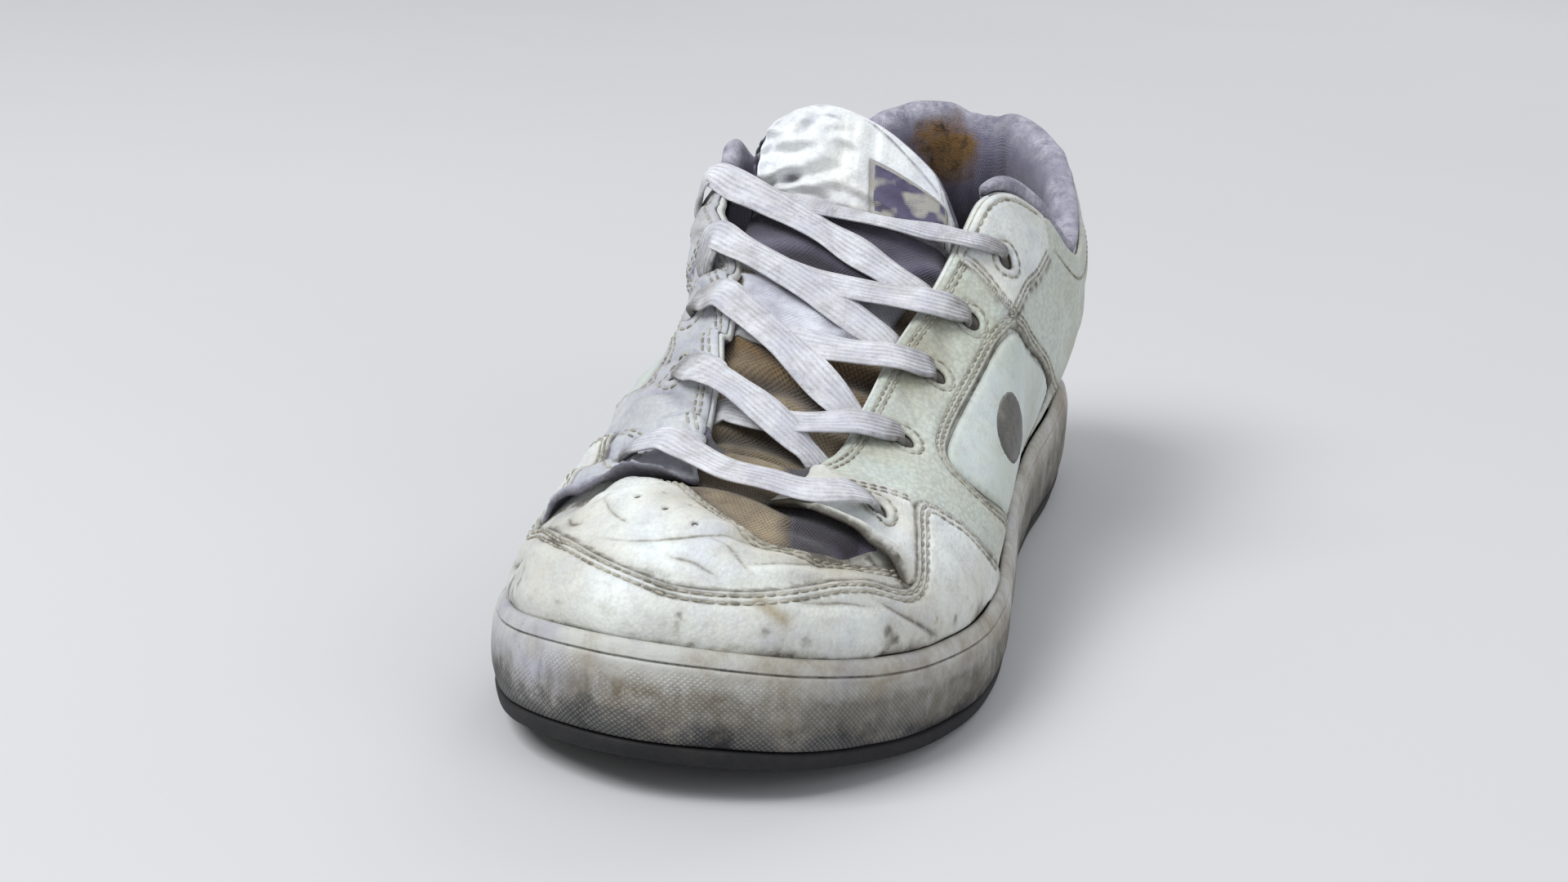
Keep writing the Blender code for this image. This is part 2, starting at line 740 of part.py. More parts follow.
def ribbon(name, centres, facing, material):
    """Flat lace along a line of centres, with the way its face looks at each one."""
    centres = np.asarray(centres, float)
    facing = np.asarray(facing, float)
    step = np.gradient(centres, axis=0)
    step = step / np.linalg.norm(step, axis=1, keepdims=True)
    side = np.cross(step, facing)
    side = side / np.linalg.norm(side, axis=1, keepdims=True)
    up = np.cross(side, step)
    rings = []
    for a, b in ((-1, -1), (1, -1), (1, 1), (-1, 1)):
        rings.append(centres + side * a * LACE_WIDTH / 2 + up * b * LACE_THICKNESS / 2)
    rings = np.swapaxes(np.array(rings), 0, 1)
    points = rings.reshape(-1, 3)
    faces = grid_faces(len(centres), 4, True)
    faces.append((3, 2, 1, 0))
    faces.append(tuple((len(centres) - 1) * 4 + i for i in range(4)))
    return add_object(name, points, faces, material)


def upper_normal(u, v):
    """Outward direction of the upper at given places."""
    return upper(u, v, np.ones(len(u))) - upper(u, v, np.zeros(len(u)))


def strand(name, start, end, crown, under, material):
    """One lace strand from the top of an eyelet over the throat to the far edge or eyelet."""
    on_top = GAP + OVERLAY + LACE_CLEARANCE + LACE_THICKNESS / 2
    u0, v0 = start
    u1, v1 = end
    lead_v = [v0, (v0 + 1) / 2, 1.0]
    rises = [on_top - 0.3, on_top + 0.3, on_top + 1.2]
    above = np.array([[0, -0.35, 0.94]])
    lead = upper([u0] * 3, lead_v, rises)
    lead_facing = upper_normal([u0] * 3, lead_v)
    lead_facing[-1] = (lead_facing[-1] + above[0]) / 2
    if under:
        tail = upper([u1], [1.0], [-1.6])
        inward = lead[-1] - tail[0]
        tail = tail + inward / np.linalg.norm(inward) * 3.4
        tail_facing = upper_normal([u1], [1.0])
    else:
        tail_v = lead_v[::-1]
        tail = upper([u1] * 3, tail_v, rises[::-1])
        tail_facing = upper_normal([u1] * 3, tail_v)
        tail_facing[0] = (tail_facing[0] + above[0]) / 2
    share = np.linspace(0, 1, 7)[1:-1, None]
    span = lead[-1] + (tail[0] - lead[-1]) * share + above * crown * np.sin(math.pi * share)
    blend = np.sin(math.pi * share)
    span_facing = (lead_facing[-1] * (1 - share) + tail_facing[0] * share) * (1 - blend) + above * blend
    centres = np.concatenate([lead, span, tail])
    return ribbon(name, centres, np.concatenate([lead_facing, span_facing, tail_facing]), material)


def build_laces(material):
    """The lower bar and four crossings of flat lace."""
    inner = [(2 - u, v) for u, v in EYELETS]
    outer = list(EYELETS)
    items = [strand("lace_bar", inner[4], outer[4], 3.0, False, material)]
    for row in range(4):
        over = strand("lace_cross_%d" % (row + 1), inner[row], outer[row + 1], 2.4, True, material)
        below = strand("below", outer[row], inner[row + 1], 1.2, True, material)
        items.append(combine(over, below, "UNION"))
    return items


def main():
    """Build every piece of the shoe."""
    for item in list(bpy.data.objects):
        bpy.data.objects.remove(item, do_unlink=True)
    leather = add_material("worn white leather", (0.56, 0.58, 0.53), 0.55)
    side_leather = add_material("tumbled off white leather", (0.52, 0.54, 0.47), 0.6)
    wall_rubber = add_material("grey white sidewall rubber", (0.42, 0.42, 0.40), 0.7)
    tread_rubber = add_material("dark outsole rubber", (0.045, 0.045, 0.05), 0.8)
    lining = add_material("purple grey lining textile", (0.20, 0.18, 0.25), 0.9)
    lace_cotton = add_material("off white flat lace", (0.55, 0.53, 0.56), 0.85)
    tongue_cover = add_material("cream padded tongue", (0.62, 0.63, 0.56), 0.65)
    woven = add_material("woven label textile", (0.30, 0.28, 0.36), 0.85)
    foam = add_material("dusty insole foam", (0.22, 0.20, 0.22), 0.9)

    build_outsole(tread_rubber)
    build_cup(wall_rubber)
    build_insole(foam)
    outer = list(EYELETS)
    inner = [(2 - u, v) for u, v in EYELETS]
    punch(build_upper(leather), outer + inner)
    panel("mudguard", MUDGUARD, leather)
    for side, spots, mirrored in (("outer", outer, False), ("inner", inner, True)):
        punch(panel("wing_" + side, WING, leather, mirrored), spots[4:])
        punch(panel("quarter_" + side, QUARTER, side_leather, mirrored, WINDOW), spots[1:4])
        punch(panel("eyestay_top_" + side, EYESTAY_TOP, leather, mirrored), spots[:1])
    heel = [(2 - u, low, high) for u, low, high in reversed(HEEL_SIDE)]
    heel = [(u - 2, low, high) for u, low, high in heel] + list(HEEL_SIDE[1:])
    panel("heel_panel", heel, leather)
    build_lining(lining)
    build_tongue(tongue_cover)
    build_on_tongue("tongue_label", (0.71, 0.84), (0.10, 0.42), 0.9, woven)
    build_on_tongue("lace_keeper", (0.42, 0.51), (0.26, 0.70), 0.7, woven)
    build_laces(lace_cotton)


main()
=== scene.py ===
"""Looks of a worn low leather sneaker for the left foot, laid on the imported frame."""

import logging
import math
from dataclasses import dataclass, field, replace
from enum import Enum
from typing import Any, Optional, Sequence

import bpy
import numpy as np
from mathutils import Matrix, Vector, geometry, kdtree

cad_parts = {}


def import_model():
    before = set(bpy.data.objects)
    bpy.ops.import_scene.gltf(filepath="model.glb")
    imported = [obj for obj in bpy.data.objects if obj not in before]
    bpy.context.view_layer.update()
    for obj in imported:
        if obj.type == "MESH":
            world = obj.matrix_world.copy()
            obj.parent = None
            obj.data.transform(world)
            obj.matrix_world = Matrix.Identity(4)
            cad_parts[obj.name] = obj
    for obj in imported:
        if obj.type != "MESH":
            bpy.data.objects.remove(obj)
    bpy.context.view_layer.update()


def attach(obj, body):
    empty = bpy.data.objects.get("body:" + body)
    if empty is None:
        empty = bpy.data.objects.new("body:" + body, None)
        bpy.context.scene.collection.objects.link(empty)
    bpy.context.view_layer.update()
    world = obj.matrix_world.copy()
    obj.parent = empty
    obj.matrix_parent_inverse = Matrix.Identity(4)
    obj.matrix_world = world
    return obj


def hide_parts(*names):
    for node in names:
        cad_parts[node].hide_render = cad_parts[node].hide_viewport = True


LOG = logging.getLogger("sneaker")
MM = 0.001
# middle of the solids' width in mm, where the frame has its origin
CENTRE_X = 1.286
UV = Sequence[tuple[float, float]]
Array = np.ndarray
Socket = bpy.types.NodeSocket
Material = bpy.types.Material
Object = bpy.types.Object
# section places of the outer side's eyelets, from the top one to the lace bar's
EYELETS: UV = ((0.542, 0.79), (0.623, 0.8), (0.695, 0.8), (0.782, 0.785), (0.858, 0.67))


class Side(Enum):
    """The two sides of the shoe, by which way their section lines run."""

    OUTER = "outer"
    INNER = "inner"

    def path(self, line: UV) -> Array:
        """Section places of a line that is given on the outer side.

        Args:
            line: Places on the outer side.

        Returns:
            Its places on this side.
        """
        places = np.array(line, float)
        if self is Side.INNER:
            places[:, 0] = 2.0 - places[:, 0]
        return places


class Mask(Enum):
    """Point values that a finish reads from a mesh."""

    # dirt with painted shade: hollows, creases, seams, panel edges, panel backs, the shoe's inside and low down
    GRIME_AND_SHADE = "grime_and_shade"
    TINT = "tint"
    ZONE = "zone"


def linear(code: str) -> tuple[float, float, float, float]:
    """Turn an sRGB hex colour into linear values.

    Args:
        code: Colour such as "#C9D1C4".

    Returns:
        Linear red, green, blue and an alpha of 1.
    """
    parts = [int(code[i:i + 2], 16) / 255 for i in (1, 3, 5)]
    values = [p / 12.92 if p <= 0.04045 else ((p + 0.055) / 1.055) ** 2.4 for p in parts]
    return (values[0], values[1], values[2], 1.0)


def rough_noise(points: Array, size: float, seed: int) -> Array:
    """Soft lattice noise between -1 and 1.

    Args:
        points: Places in mm.
        size: Width of one cell in mm.
        seed: Number that picks the pattern.

    Returns:
        One value for each place.
    """
    cell = points / size + 1000.0
    low = np.floor(cell).astype(np.int64)
    part = cell - low
    part = part * part * (3 - 2 * part)
    total = np.zeros(len(points))
    for corner in range(8):
        offset = np.array([corner & 1, corner >> 1 & 1, corner >> 2 & 1])
        spot = low + offset
        mixed = (spot[:, 0] * 73856093) ^ (spot[:, 1] * 19349663) ^ (spot[:, 2] * 83492791) ^ (seed * 2654435761)
        mixed = (mixed ^ (mixed >> 13)) * 1274126177 & 0x7FFFFFFF
        weight = np.prod(np.where(offset, part, 1 - part), axis=1)
        total += weight * ((mixed >> 7 & 0xFFFF) / 32767.5 - 1)
    return total


def unit(vectors: Array) -> Array:
    """Vectors brought to length 1."""
    return vectors / np.linalg.norm(vectors, axis=-1, keepdims=True)


def run_along(line: Array) -> Array:
    """Distance of each point of a line from its start, measured along it."""
    return np.concatenate([[0], np.cumsum(np.linalg.norm(np.diff(line, axis=0), axis=1))])


def spacing(points: Array, spots: Array) -> Array:
    """Distance from each point to the nearest of some spots.

    Args:
        points: Points in mm.
        spots: Spots in mm.

    Returns:
        Distances in mm.
    """
    tree = kdtree.KDTree(len(spots))
    for i, spot in enumerate(spots):
        tree.insert(spot, i)
    tree.balance()
    return np.array([tree.find(p)[2] for p in points])


def smooth_line(points: Array, at: Array) -> Array:
    """Smooth open curve through points.

    Args:
        points: Points in order, along the first axis.
        at: Places from 0 to 1.

    Returns:
        The curve's points at those places.
    """
    points = np.asarray(points, float)
    last = len(points) - 1
    ends = np.concatenate([[2 * points[0] - points[1]], points, [2 * points[-1] - points[-2]]])
    place = np.clip(np.asarray(at, float), 0, 1) * last
    i = np.minimum(place.astype(int), last - 1)
    t = (place - i).reshape((-1,) + (1,) * (points.ndim - 1))
    a, b, c, d = ends[i], ends[i + 1], ends[i + 2], ends[i + 3]
    return 0.5 * (2 * b + (c - a) * t + (2 * a - 5 * b + 4 * c - d) * t**2 + (3 * b - a - 3 * c + d) * t**3)


def nearest(points: Array, line: Array) -> tuple[Array, Array]:
    """Distance from points to a line of points.

    Args:
        points: Places in mm.
        line: Points of the line in mm, in order.

    Returns:
        The distance in mm, and where along the line the nearest spot is, from 0 to 1.
    """
    steps = np.diff(line, axis=0)
    sizes = np.linalg.norm(steps, axis=1)
    starts = np.concatenate([[0], np.cumsum(sizes)])
    best = np.full(len(points), np.inf)
    place = np.zeros(len(points))
    for a, step, size, start in zip(line[:-1], steps, sizes, starts):
        away = points - a
        t = np.clip(away @ step / max(size * size, 1e-9), 0, 1)
        gap = np.linalg.norm(away - t[:, None] * step, axis=1)
        closer = gap < best
        best[closer] = gap[closer]
        place[closer] = start + t[closer] * size
    return best, place / starts[-1]


def cut_corners(path: Array, rounds: int, closed: bool) -> Array:
    """Round the corners of a line.

    Args:
        path: Places in order.
        rounds: How often the corners are cut.
        closed: Whether the line comes back to its start.

    Returns:
        The rounded line.
    """
    for _ in range(rounds):
        after = np.roll(path, -1, axis=0) if closed else path[1:]
        before = path if closed else path[:-1]
        pairs = np.stack([before * 0.75 + after * 0.25, before * 0.25 + after * 0.75], axis=1)
        cut = pairs.reshape(-1, path.shape[1])
        path = cut if closed else np.concatenate([path[:1], cut[1:-1], path[-1:]])
    return path


def inside(places: Array, border: Array) -> Array:
    """Tell which flat places lie inside a closed border.

    Args:
        places: Flat places.
        border: Corners of the border in order.

    Returns:
        True for each place inside.
    """
    odd = np.zeros(len(places), bool)
    for a, b in zip(border, np.roll(border, -1, axis=0)):
        if a[1] == b[1]:
            continue
        crosses = (a[1] > places[:, 1]) != (b[1] > places[:, 1])
        odd ^= crosses & (places[:, 0] < (b[0] - a[0]) * (places[:, 1] - a[1]) / (b[1] - a[1]) + a[0])
    return odd


def grid_quads(rows: int, columns: int, around: bool = False, start: int = 0) -> list[tuple[int, ...]]:
    """Quads of a grid whose rows are stored one after another.

    Args:
        rows: Number of rows.
        columns: Number of points in a row.
        around: Whether each row closes on itself.
        start: Number of the first point.

    Returns:
        The faces.
    """
    last = columns if around else columns - 1
    return [
        (start + r * columns + c, start + r * columns + (c + 1) % columns,
         start + (r + 1) * columns + (c + 1) % columns, start + (r + 1) * columns + c)
        for r in range(rows - 1) for c in range(last)
    ]


def closed_sheet(rows: int, columns: int) -> list[tuple[int, ...]]:
    """Faces of a front grid, then of the back grid stored after it and the strip round both.

    Args:
        rows: Number of rows of each grid.
        columns: Number of points in a row.

    Returns:
        The faces.
    """
    count = rows * columns
    front = grid_quads(rows, columns)
    border = list(range(columns)) + [r * columns + columns - 1 for r in range(1, rows)]
    border += [(rows - 1) * columns + c for c in range(columns - 2, -1, -1)]
    border += [r * columns for r in range(rows - 2, 0, -1)]
    strip = [(b, a, a + count, b + count) for a, b in zip(border, border[1:] + border[:1])]
    return front + [tuple(i + count for i in reversed(f)) for f in front] + strip


def mirrored_cap(start: int, count: int, down: bool = False) -> list[tuple[int, ...]]:
    """Faces that fill a ring by joining each point with the one across from it.

    Args:
        start: Number of the ring's first point, at the heel.
        count: Number of points in the ring.
        down: Whether the faces look down.

    Returns:
        The faces.
    """
    faces = []
    for i in range(count // 2):
        corners = (i, i + 1, (count - i - 1) % count, (count - i) % count)
        face = tuple(start + k for k in dict.fromkeys(corners))
        faces.append(face[::-1] if down else face)
    return [f for f in faces if len(f) > 2]


@dataclass(frozen=True)
class Last:
    """Form of the foot the shoe is built on, in the same named sizes as its solids."""

    length: float = 298.0
    rim_inset: float = 5.5
    outsole_height: float = 4.0
    floor_height: float = 12.0
    insole_thickness: float = 4.0
    insole_inset: float = 8.5
    wall: float = 2.4
    gap: float = 0.3
    toe_spring: float = 9.0
    spring_start: float = 0.7
    heel_bevel: float = 2.0
    heel_bevel_share: float = 0.07
    arch_lift: float = 2.5
    arch_start: float = 0.34
    arch_end: float = 0.54
    # u, x, share of the length from the heel
    outline_table: tuple = (
        (0.00, 0.0, 0.000), (0.08, 22.0, 0.018), (0.16, 36.0, 0.085), (0.25, 40.5, 0.19),
        (0.36, 41.5, 0.32), (0.48, 45.0, 0.45), (0.6, 51.5, 0.58), (0.7, 56.0, 0.69),
        (0.79, 54.0, 0.79), (0.87, 44.5, 0.885), (0.94, 25.0, 0.968), (1.00, -4.0, 1.000),
        (1.06, -30.0, 0.968), (1.13, -46.0, 0.895), (1.21, -53.0, 0.8), (1.3, -52.0, 0.71),
        (1.4, -45.0, 0.6), (1.52, -37.0, 0.46), (1.64, -35.5, 0.33), (1.75, -37.5, 0.19),
        (1.84, -34.0, 0.085), (1.92, -21.0, 0.018),
    )
    # u, x, share, z of the edge, then how far a section leaves the rim and reaches the edge
    section_table: tuple = (
        (0.00, 2, 0.045, 100, 6, 26, 3, 24), (0.08, 15, 0.052, 101, 6, 26, 4, 22),
        (0.16, 28, 0.095, 96, 7, 24, 5, 20), (0.25, 38, 0.165, 84, 8, 20, 5, 16),
        (0.33, 42, 0.235, 77, 8, 18, 5, 14), (0.4, 41.5, 0.29, 81.5, 7, 18, 6, 16),
        (0.46, 37, 0.345, 93, 6, 18, 8, 18), (0.5, 30.5, 0.39, 100, 5, 18, 10, 20),
        (0.54, 26, 0.42, 99, 5, 18, 13, 19), (0.58, 23.5, 0.45, 91, 4, 17, 15, 16),
        (0.63, 20.5, 0.495, 80.5, 4, 16, 16, 12), (0.7, 17, 0.57, 70.5, 3, 14, 17, 10),
        (0.78, 17, 0.66, 62.5, 3, 12, 17, 8), (0.85, 16.5, 0.735, 56, 3, 12, 17, 6),
        (0.9, 13, 0.775, 55.5, 3, 14, 18, 4), (1.00, 3, 0.79, 57, 3, 16, 20, 3),
        (1.08, -6, 0.79, 58.5, 2, 15, 18, 4), (1.14, -11, 0.765, 61.5, 2, 13, 16, 6),
        (1.2, -16, 0.69, 70, 2, 13, 15, 7), (1.3, -23, 0.59, 79, 2, 16, 14, 8),
        (1.4, -34, 0.5, 88, 3, 18, 10, 12), (1.46, -42, 0.44, 98, 3, 18, 7, 16),
        (1.5, -44.5, 0.41, 102, 3, 18, 5, 18), (1.56, -44, 0.365, 96, 3, 18, 4, 18),
        (1.64, -41, 0.28, 88, 4, 18, 4, 16), (1.75, -35.5, 0.165, 93, 5, 22, 4, 18),
        (1.84, -25, 0.085, 101, 6, 24, 4, 20), (1.92, -12, 0.052, 103, 6, 26, 3, 22),
    )
    rim_table: tuple = ((0.00, 31.0), (0.15, 30.0), (0.45, 25.0), (0.72, 23.0), (0.9, 24.0), (1.00, 26.0))

    def curve(self, table: tuple, column: int, u: Array) -> Array:
        """Smooth closed curve through one column of a table over u.

        Args:
            table: Rows that start with u.
            column: Column to follow.
            u: Places round the shoe, with period 2.

        Returns:
            The column's value at each place.
        """
        rows = np.array(table, float)
        u = np.mod(np.asarray(u, float), 2.0)
        keys = np.concatenate([rows[-2:, 0] - 2.0, rows[:, 0], rows[:2, 0] + 2.0])
        values = np.concatenate([rows[-2:, column], rows[:, column], rows[:2, column]])
        step = np.diff(keys)
        slope = np.diff(values) / step
        tangent = np.zeros(len(keys))
        tangent[1:-1] = (slope[1:] * step[:-1] + slope[:-1] * step[1:]) / (step[1:] + step[:-1])
        i = np.clip(np.searchsorted(keys, u, side="right") - 1, 1, len(keys) - 3)
        t = (u - keys[i]) / step[i]
        start = (2 * t**3 - 3 * t**2 + 1) * values[i] + (t**3 - 2 * t**2 + t) * step[i] * tangent[i]
        end = (3 * t**2 - 2 * t**3) * values[i + 1] + (t**3 - t**2) * step[i] * tangent[i + 1]
        return start + end

    def along(self, share: Array) -> Array:
        """Distance along the shoe in mm, heel positive."""
        return self.length / 2 - np.asarray(share, float) * self.length

    def share(self, u: Array) -> Array:
        """Share of the length at each place round the sole."""
        return self.curve(self.outline_table, 2, u)

    def outline(self, u: Array, inset: float) -> tuple[Array, ...]:
        """Sole outline moved inwards.

        Args:
            u: Places round the shoe.
            inset: Distance inwards in mm.

        Returns:
            x, y and the two parts of the outward direction.
        """
        reach = 0.001
        x = self.curve(self.outline_table, 1, u)
        y = self.along(self.share(u))
        dx = self.curve(self.outline_table, 1, u + reach) - self.curve(self.outline_table, 1, u - reach)
        dy = self.along(self.share(u + reach)) - self.along(self.share(u - reach))
        size = np.hypot(dx, dy)
        return x + inset * dy / size, y - inset * dx / size, -dy / size, dx / size

    def spring(self, share: Array) -> Array:
        """Lift of the toe and the heel bevel over the ground in mm.

        Args:
            share: Share of the length from the heel.

        Returns:
            Heights in mm.
        """
        toe = self.toe_spring * (np.clip(share - self.spring_start, 0, None) / (1 - self.spring_start)) ** 2
        back = np.clip(self.heel_bevel_share - share, 0, None) / self.heel_bevel_share
        return toe + self.heel_bevel * back**2

    def tread(self, share: Array) -> Array:
        """Height of the tread line over the ground in mm, with the lifted arch."""
        arch = np.clip((share - self.arch_start) / (self.arch_end - self.arch_start), 0, 1)
        return self.spring(share) + self.arch_lift * np.sin(math.pi * arch) ** 2

    def rim(self, share: Array) -> Array:
        """Height of the sidewall rim over the ground in mm."""
        table = np.array(self.rim_table)
        return np.interp(share, table[:, 0], table[:, 1]) + self.spring(share)

    def skin(self, u: Array, v: Array) -> Array:
        """Outer skin of the upper before its creases.

        Args:
            u: Places round the shoe.
            v: Places from the sole rim, 0, to the collar or throat edge, 1.

        Returns:
            Points in mm.
        """
        x0, y0, nx, ny = self.outline(u, self.rim_inset)
        z0 = self.rim(self.share(u))
        x3, share, z3, out_rim, up_rim, out_edge, down_edge = (
            self.curve(self.section_table, c, u) for c in range(1, 8))
        y3 = self.along(share)
        b0, b1, b2, b3 = (1 - v) ** 3, 3 * (1 - v) ** 2 * v, 3 * (1 - v) * v**2, v**3
        x = b0 * x0 + b1 * (x0 + out_rim * nx) + b2 * (x3 + out_edge * nx) + b3 * x3
        y = b0 * y0 + b1 * (y0 + out_rim * ny) + b2 * (y3 + out_edge * ny) + b3 * y3
        z = b0 * z0 + b1 * (z0 + up_rim) + b2 * (z3 - down_edge) + b3 * z3
        return np.stack([x, y, z], axis=-1)

    def slopes(self, u: Array, v: Array) -> tuple[Array, Array, Array]:
        """Directions of the skin.

        Args:
            u: Places round the shoe.
            v: Places up the section.

        Returns:
            Change along u, change along v and the outward normal.
        """
        reach = 0.004
        low = np.clip(v - reach, -0.05, 1)
        high = np.clip(v + reach, 0, 1)
        across = (self.skin(u + reach, v) - self.skin(u - reach, v)) / (2 * reach)
        rise = (self.skin(u, high) - self.skin(u, low)) / (high - low)[..., None]
        normal = np.cross(rise, across)
        return across, rise, unit(normal)

    def lay(self, u: Array, v: Array, depth: Array) -> Array:
        """Points of the skin moved outwards by depth in mm.

        Args:
            u: Places round the shoe.
            v: Places up the section.
            depth: Distances outwards in mm.

        Returns:
            Points in mm.
        """
        u = np.asarray(u, float)
        v = np.asarray(v, float)
        return self.skin(u, v) + self.slopes(u, v)[2] * np.asarray(depth, float)[..., None]


LAST = Last()


@dataclass(frozen=True)
class Fold:
    """A soft trough or ridge that a worn upper keeps, along a line on it.

    Attributes:
        path: Section places (u, v) that the line goes through.
        rise: Height in mm, negative for a trough.
        width: Half width in mm.
        ridge: Share of the height that comes up again on both sides.
    """

    path: UV
    rise: float
    width: float
    ridge: float = 0.3

    def heights(self, points: Array) -> Array:
        """Height that the fold adds at points of the bare skin.

        Args:
            points: Points in mm.

        Returns:
            Heights in mm.
        """
        places = smooth_line(np.array(self.path), np.linspace(0, 1, 4 * len(self.path)))
        line = LAST.skin(*places.T)
        total = np.zeros(len(points))
        reach = 3.6 * self.width
        close = np.all((points > line.min(0) - reach) & (points < line.max(0) + reach), axis=1)
        if not close.any():
            return total
        gap, place = nearest(points[close], line)
        ends = np.clip(np.minimum(place, 1 - place) / 0.22, 0, 1)
        ends = 0.15 + 0.85 * ends * ends * (3 - 2 * ends)
        bell = np.exp(-(gap / self.width) ** 2)
        sides = np.exp(-((gap - 1.9 * self.width) / (0.8 * self.width)) ** 2)
        total[close] = self.rise * ends * (bell - self.ridge * sides)
        return total


@dataclass(frozen=True)
class Wear:
    """Every crease and soft swelling of the upper."""

    folds: tuple = (
        # toe box: the dome behind the mudguard, its top fold and the hollow under the lace bar
        Fold(((1.1, 0.52), (1.045, 0.56), (1.00, 0.5), (0.955, 0.42)), 3.4, 8.0, 0.0),
        Fold(((1.13, 0.62), (1.08, 0.76), (1.02, 0.84), (0.96, 0.8), (0.91, 0.66)), -3.2, 5.0, 0.15),
        Fold(((1.052, 0.375), (1.02, 0.395), (0.995, 0.425), (0.97, 0.46), (0.945, 0.47)), -0.8, 1.5, 0.5),
        Fold(((0.985, 0.44), (0.97, 0.405), (0.955, 0.325)), -0.45, 1.0, 0.4),
        Fold(((1.07, 0.33), (1.03, 0.32), (0.98, 0.27), (0.93, 0.33), (0.89, 0.38)), -0.9, 2.2, 0.2),
        Fold(((1.075, 0.47), (1.06, 0.6), (1.04, 0.68)), -0.9, 1.8, 0.5),
        Fold(((1.12, 0.45), (1.1, 0.58), (1.09, 0.7)), -1.3, 2.4, 0.5),
        Fold(((0.93, 0.42), (0.9, 0.46), (0.875, 0.44)), -1.5, 3.0, 0.2),
        Fold(((0.955, 0.66), (0.925, 0.58), (0.9, 0.5), (0.88, 0.42)), -1.6, 3.0, 0.0),
        Fold(((1.045, 0.66), (1.075, 0.58), (1.1, 0.5), (1.12, 0.42)), -1.4, 3.0, 0.0),
        # crack over the mudguard and dents of the outer side
        Fold(((0.885, 0.26), (0.865, 0.19), (0.838, 0.1), (0.82, 0.03)), -0.5, 0.9, 0.6),
        Fold(((0.8, 0.5), (0.785, 0.36), (0.77, 0.22)), -0.7, 4.0, 0.3),
        Fold(((0.84, 0.62), (0.86, 0.56), (0.88, 0.6)), -0.8, 2.2, 0.4),
        Fold(((0.655, 0.96), (0.665, 0.84), (0.67, 0.74)), -0.5, 2.2, 0.5),
        Fold(((0.735, 0.96), (0.745, 0.84), (0.75, 0.72)), -0.4, 2.2, 0.5),
        Fold(((0.34, 0.62), (0.39, 0.66), (0.44, 0.74)), -0.6, 3.4, 0.4),
        Fold(((0.3, 0.44), (0.36, 0.5), (0.42, 0.6)), -0.7, 3.0, 0.4),
        Fold(((0.2, 0.74), (0.28, 0.66), (0.34, 0.7)), -1.1, 3.2, 0.4),
        Fold(((0.06, 0.55), (0.14, 0.5), (0.22, 0.54)), -0.8, 4.0, 0.3),
        Fold(((0.52, 0.3), (0.62, 0.26), (0.7, 0.3)), 0.9, 9.0, 0.0),
        # crumpled inner side
        Fold(((1.12, 0.86), (1.15, 0.72), (1.17, 0.56), (1.2, 0.42)), -2.0, 3.4, 0.5),
        Fold(((1.165, 0.93), (1.195, 0.78), (1.22, 0.62), (1.24, 0.5)), -1.7, 3.0, 0.5),
        Fold(((1.24, 0.96), (1.25, 0.8), (1.275, 0.66)), -1.8, 3.0, 0.5),
        Fold(((1.3, 0.95), (1.32, 0.8), (1.33, 0.66)), -1.3, 2.8, 0.5),
        Fold(((1.36, 0.96), (1.38, 0.8), (1.4, 0.66)), -1.5, 3.0, 0.5),
        Fold(((1.44, 0.9), (1.47, 0.74), (1.5, 0.66)), -1.1, 3.0, 0.4),
        Fold(((1.22, 0.34), (1.3, 0.42), (1.38, 0.4)), -1.1, 4.0, 0.4),
        Fold(((1.46, 0.52), (1.56, 0.56), (1.66, 0.64)), -1.3, 4.0, 0.4),
        Fold(((1.58, 0.8), (1.66, 0.74), (1.75, 0.78)), -1.0, 3.4, 0.4),
        Fold(((1.78, 0.54), (1.88, 0.5), (1.96, 0.54)), -0.8, 4.0, 0.3),
        Fold(((1.06, 0.2), (1.1, 0.14), (1.15, 0.16)), -0.6, 2.6, 0.4),
        Fold(((1.12, 0.8), (1.135, 0.9), (1.145, 0.98)), 2.6, 4.5, 0.0),
        Fold(((1.215, 0.84), (1.225, 0.92), (1.235, 0.99)), 3.4, 5.5, 0.0),
        Fold(((1.325, 0.84), (1.33, 0.92), (1.335, 0.99)), 2.8, 5.5, 0.0),
        Fold(((1.42, 0.84), (1.425, 0.92), (1.43, 0.99)), 2.4, 5.0, 0.0),
        Fold(((1.065, 0.42), (1.082, 0.4), (1.1, 0.42)), -0.7, 1.3, 0.5),
        Fold(((1.06, 0.29), (1.08, 0.31), (1.105, 0.29)), -0.7, 1.3, 0.5),
        Fold(((1.03, 0.45), (1.05, 0.48), (1.068, 0.52)), -0.6, 1.3, 0.5),
        Fold(((0.965, 0.36), (0.945, 0.4), (0.915, 0.43)), -0.5, 1.2, 0.5),
        Fold(((1.000, 0.35), (0.985, 0.34), (0.97, 0.3)), -0.4, 1.1, 0.4),
        Fold(((0.935, 0.22), (0.905, 0.24), (0.88, 0.22)), -0.5, 1.4, 0.4),
        Fold(((1.11, 0.22), (1.125, 0.16), (1.14, 0.12)), -0.6, 1.4, 0.5),
    )

    def relief(self, points: Array) -> Array:
        """Height of the worn surface over the bare skin.

        Args:
            points: Points of the bare skin in mm.

        Returns:
            Heights in mm.
        """
        total = 0.35 * rough_noise(points, 17.0, 3) + 0.16 * rough_noise(points, 7.0, 4)
        for fold in self.folds:
            total += fold.heights(points)
        # the inner eyestay is crumpled all over
        near = np.clip((-points[:, 0] - 2) / 12, 0, 1) * np.clip((points[:, 2] - 44) / 14, 0, 1)
        near *= np.clip((58 - points[:, 1]) / 20, 0, 1) * np.clip((points[:, 1] + 118) / 14, 0, 1)
        crumple = 2.3 * rough_noise(points, 14.0, 5) + 1.1 * rough_noise(points, 7.5, 6)
        return total + near * crumple


WEAR = Wear()


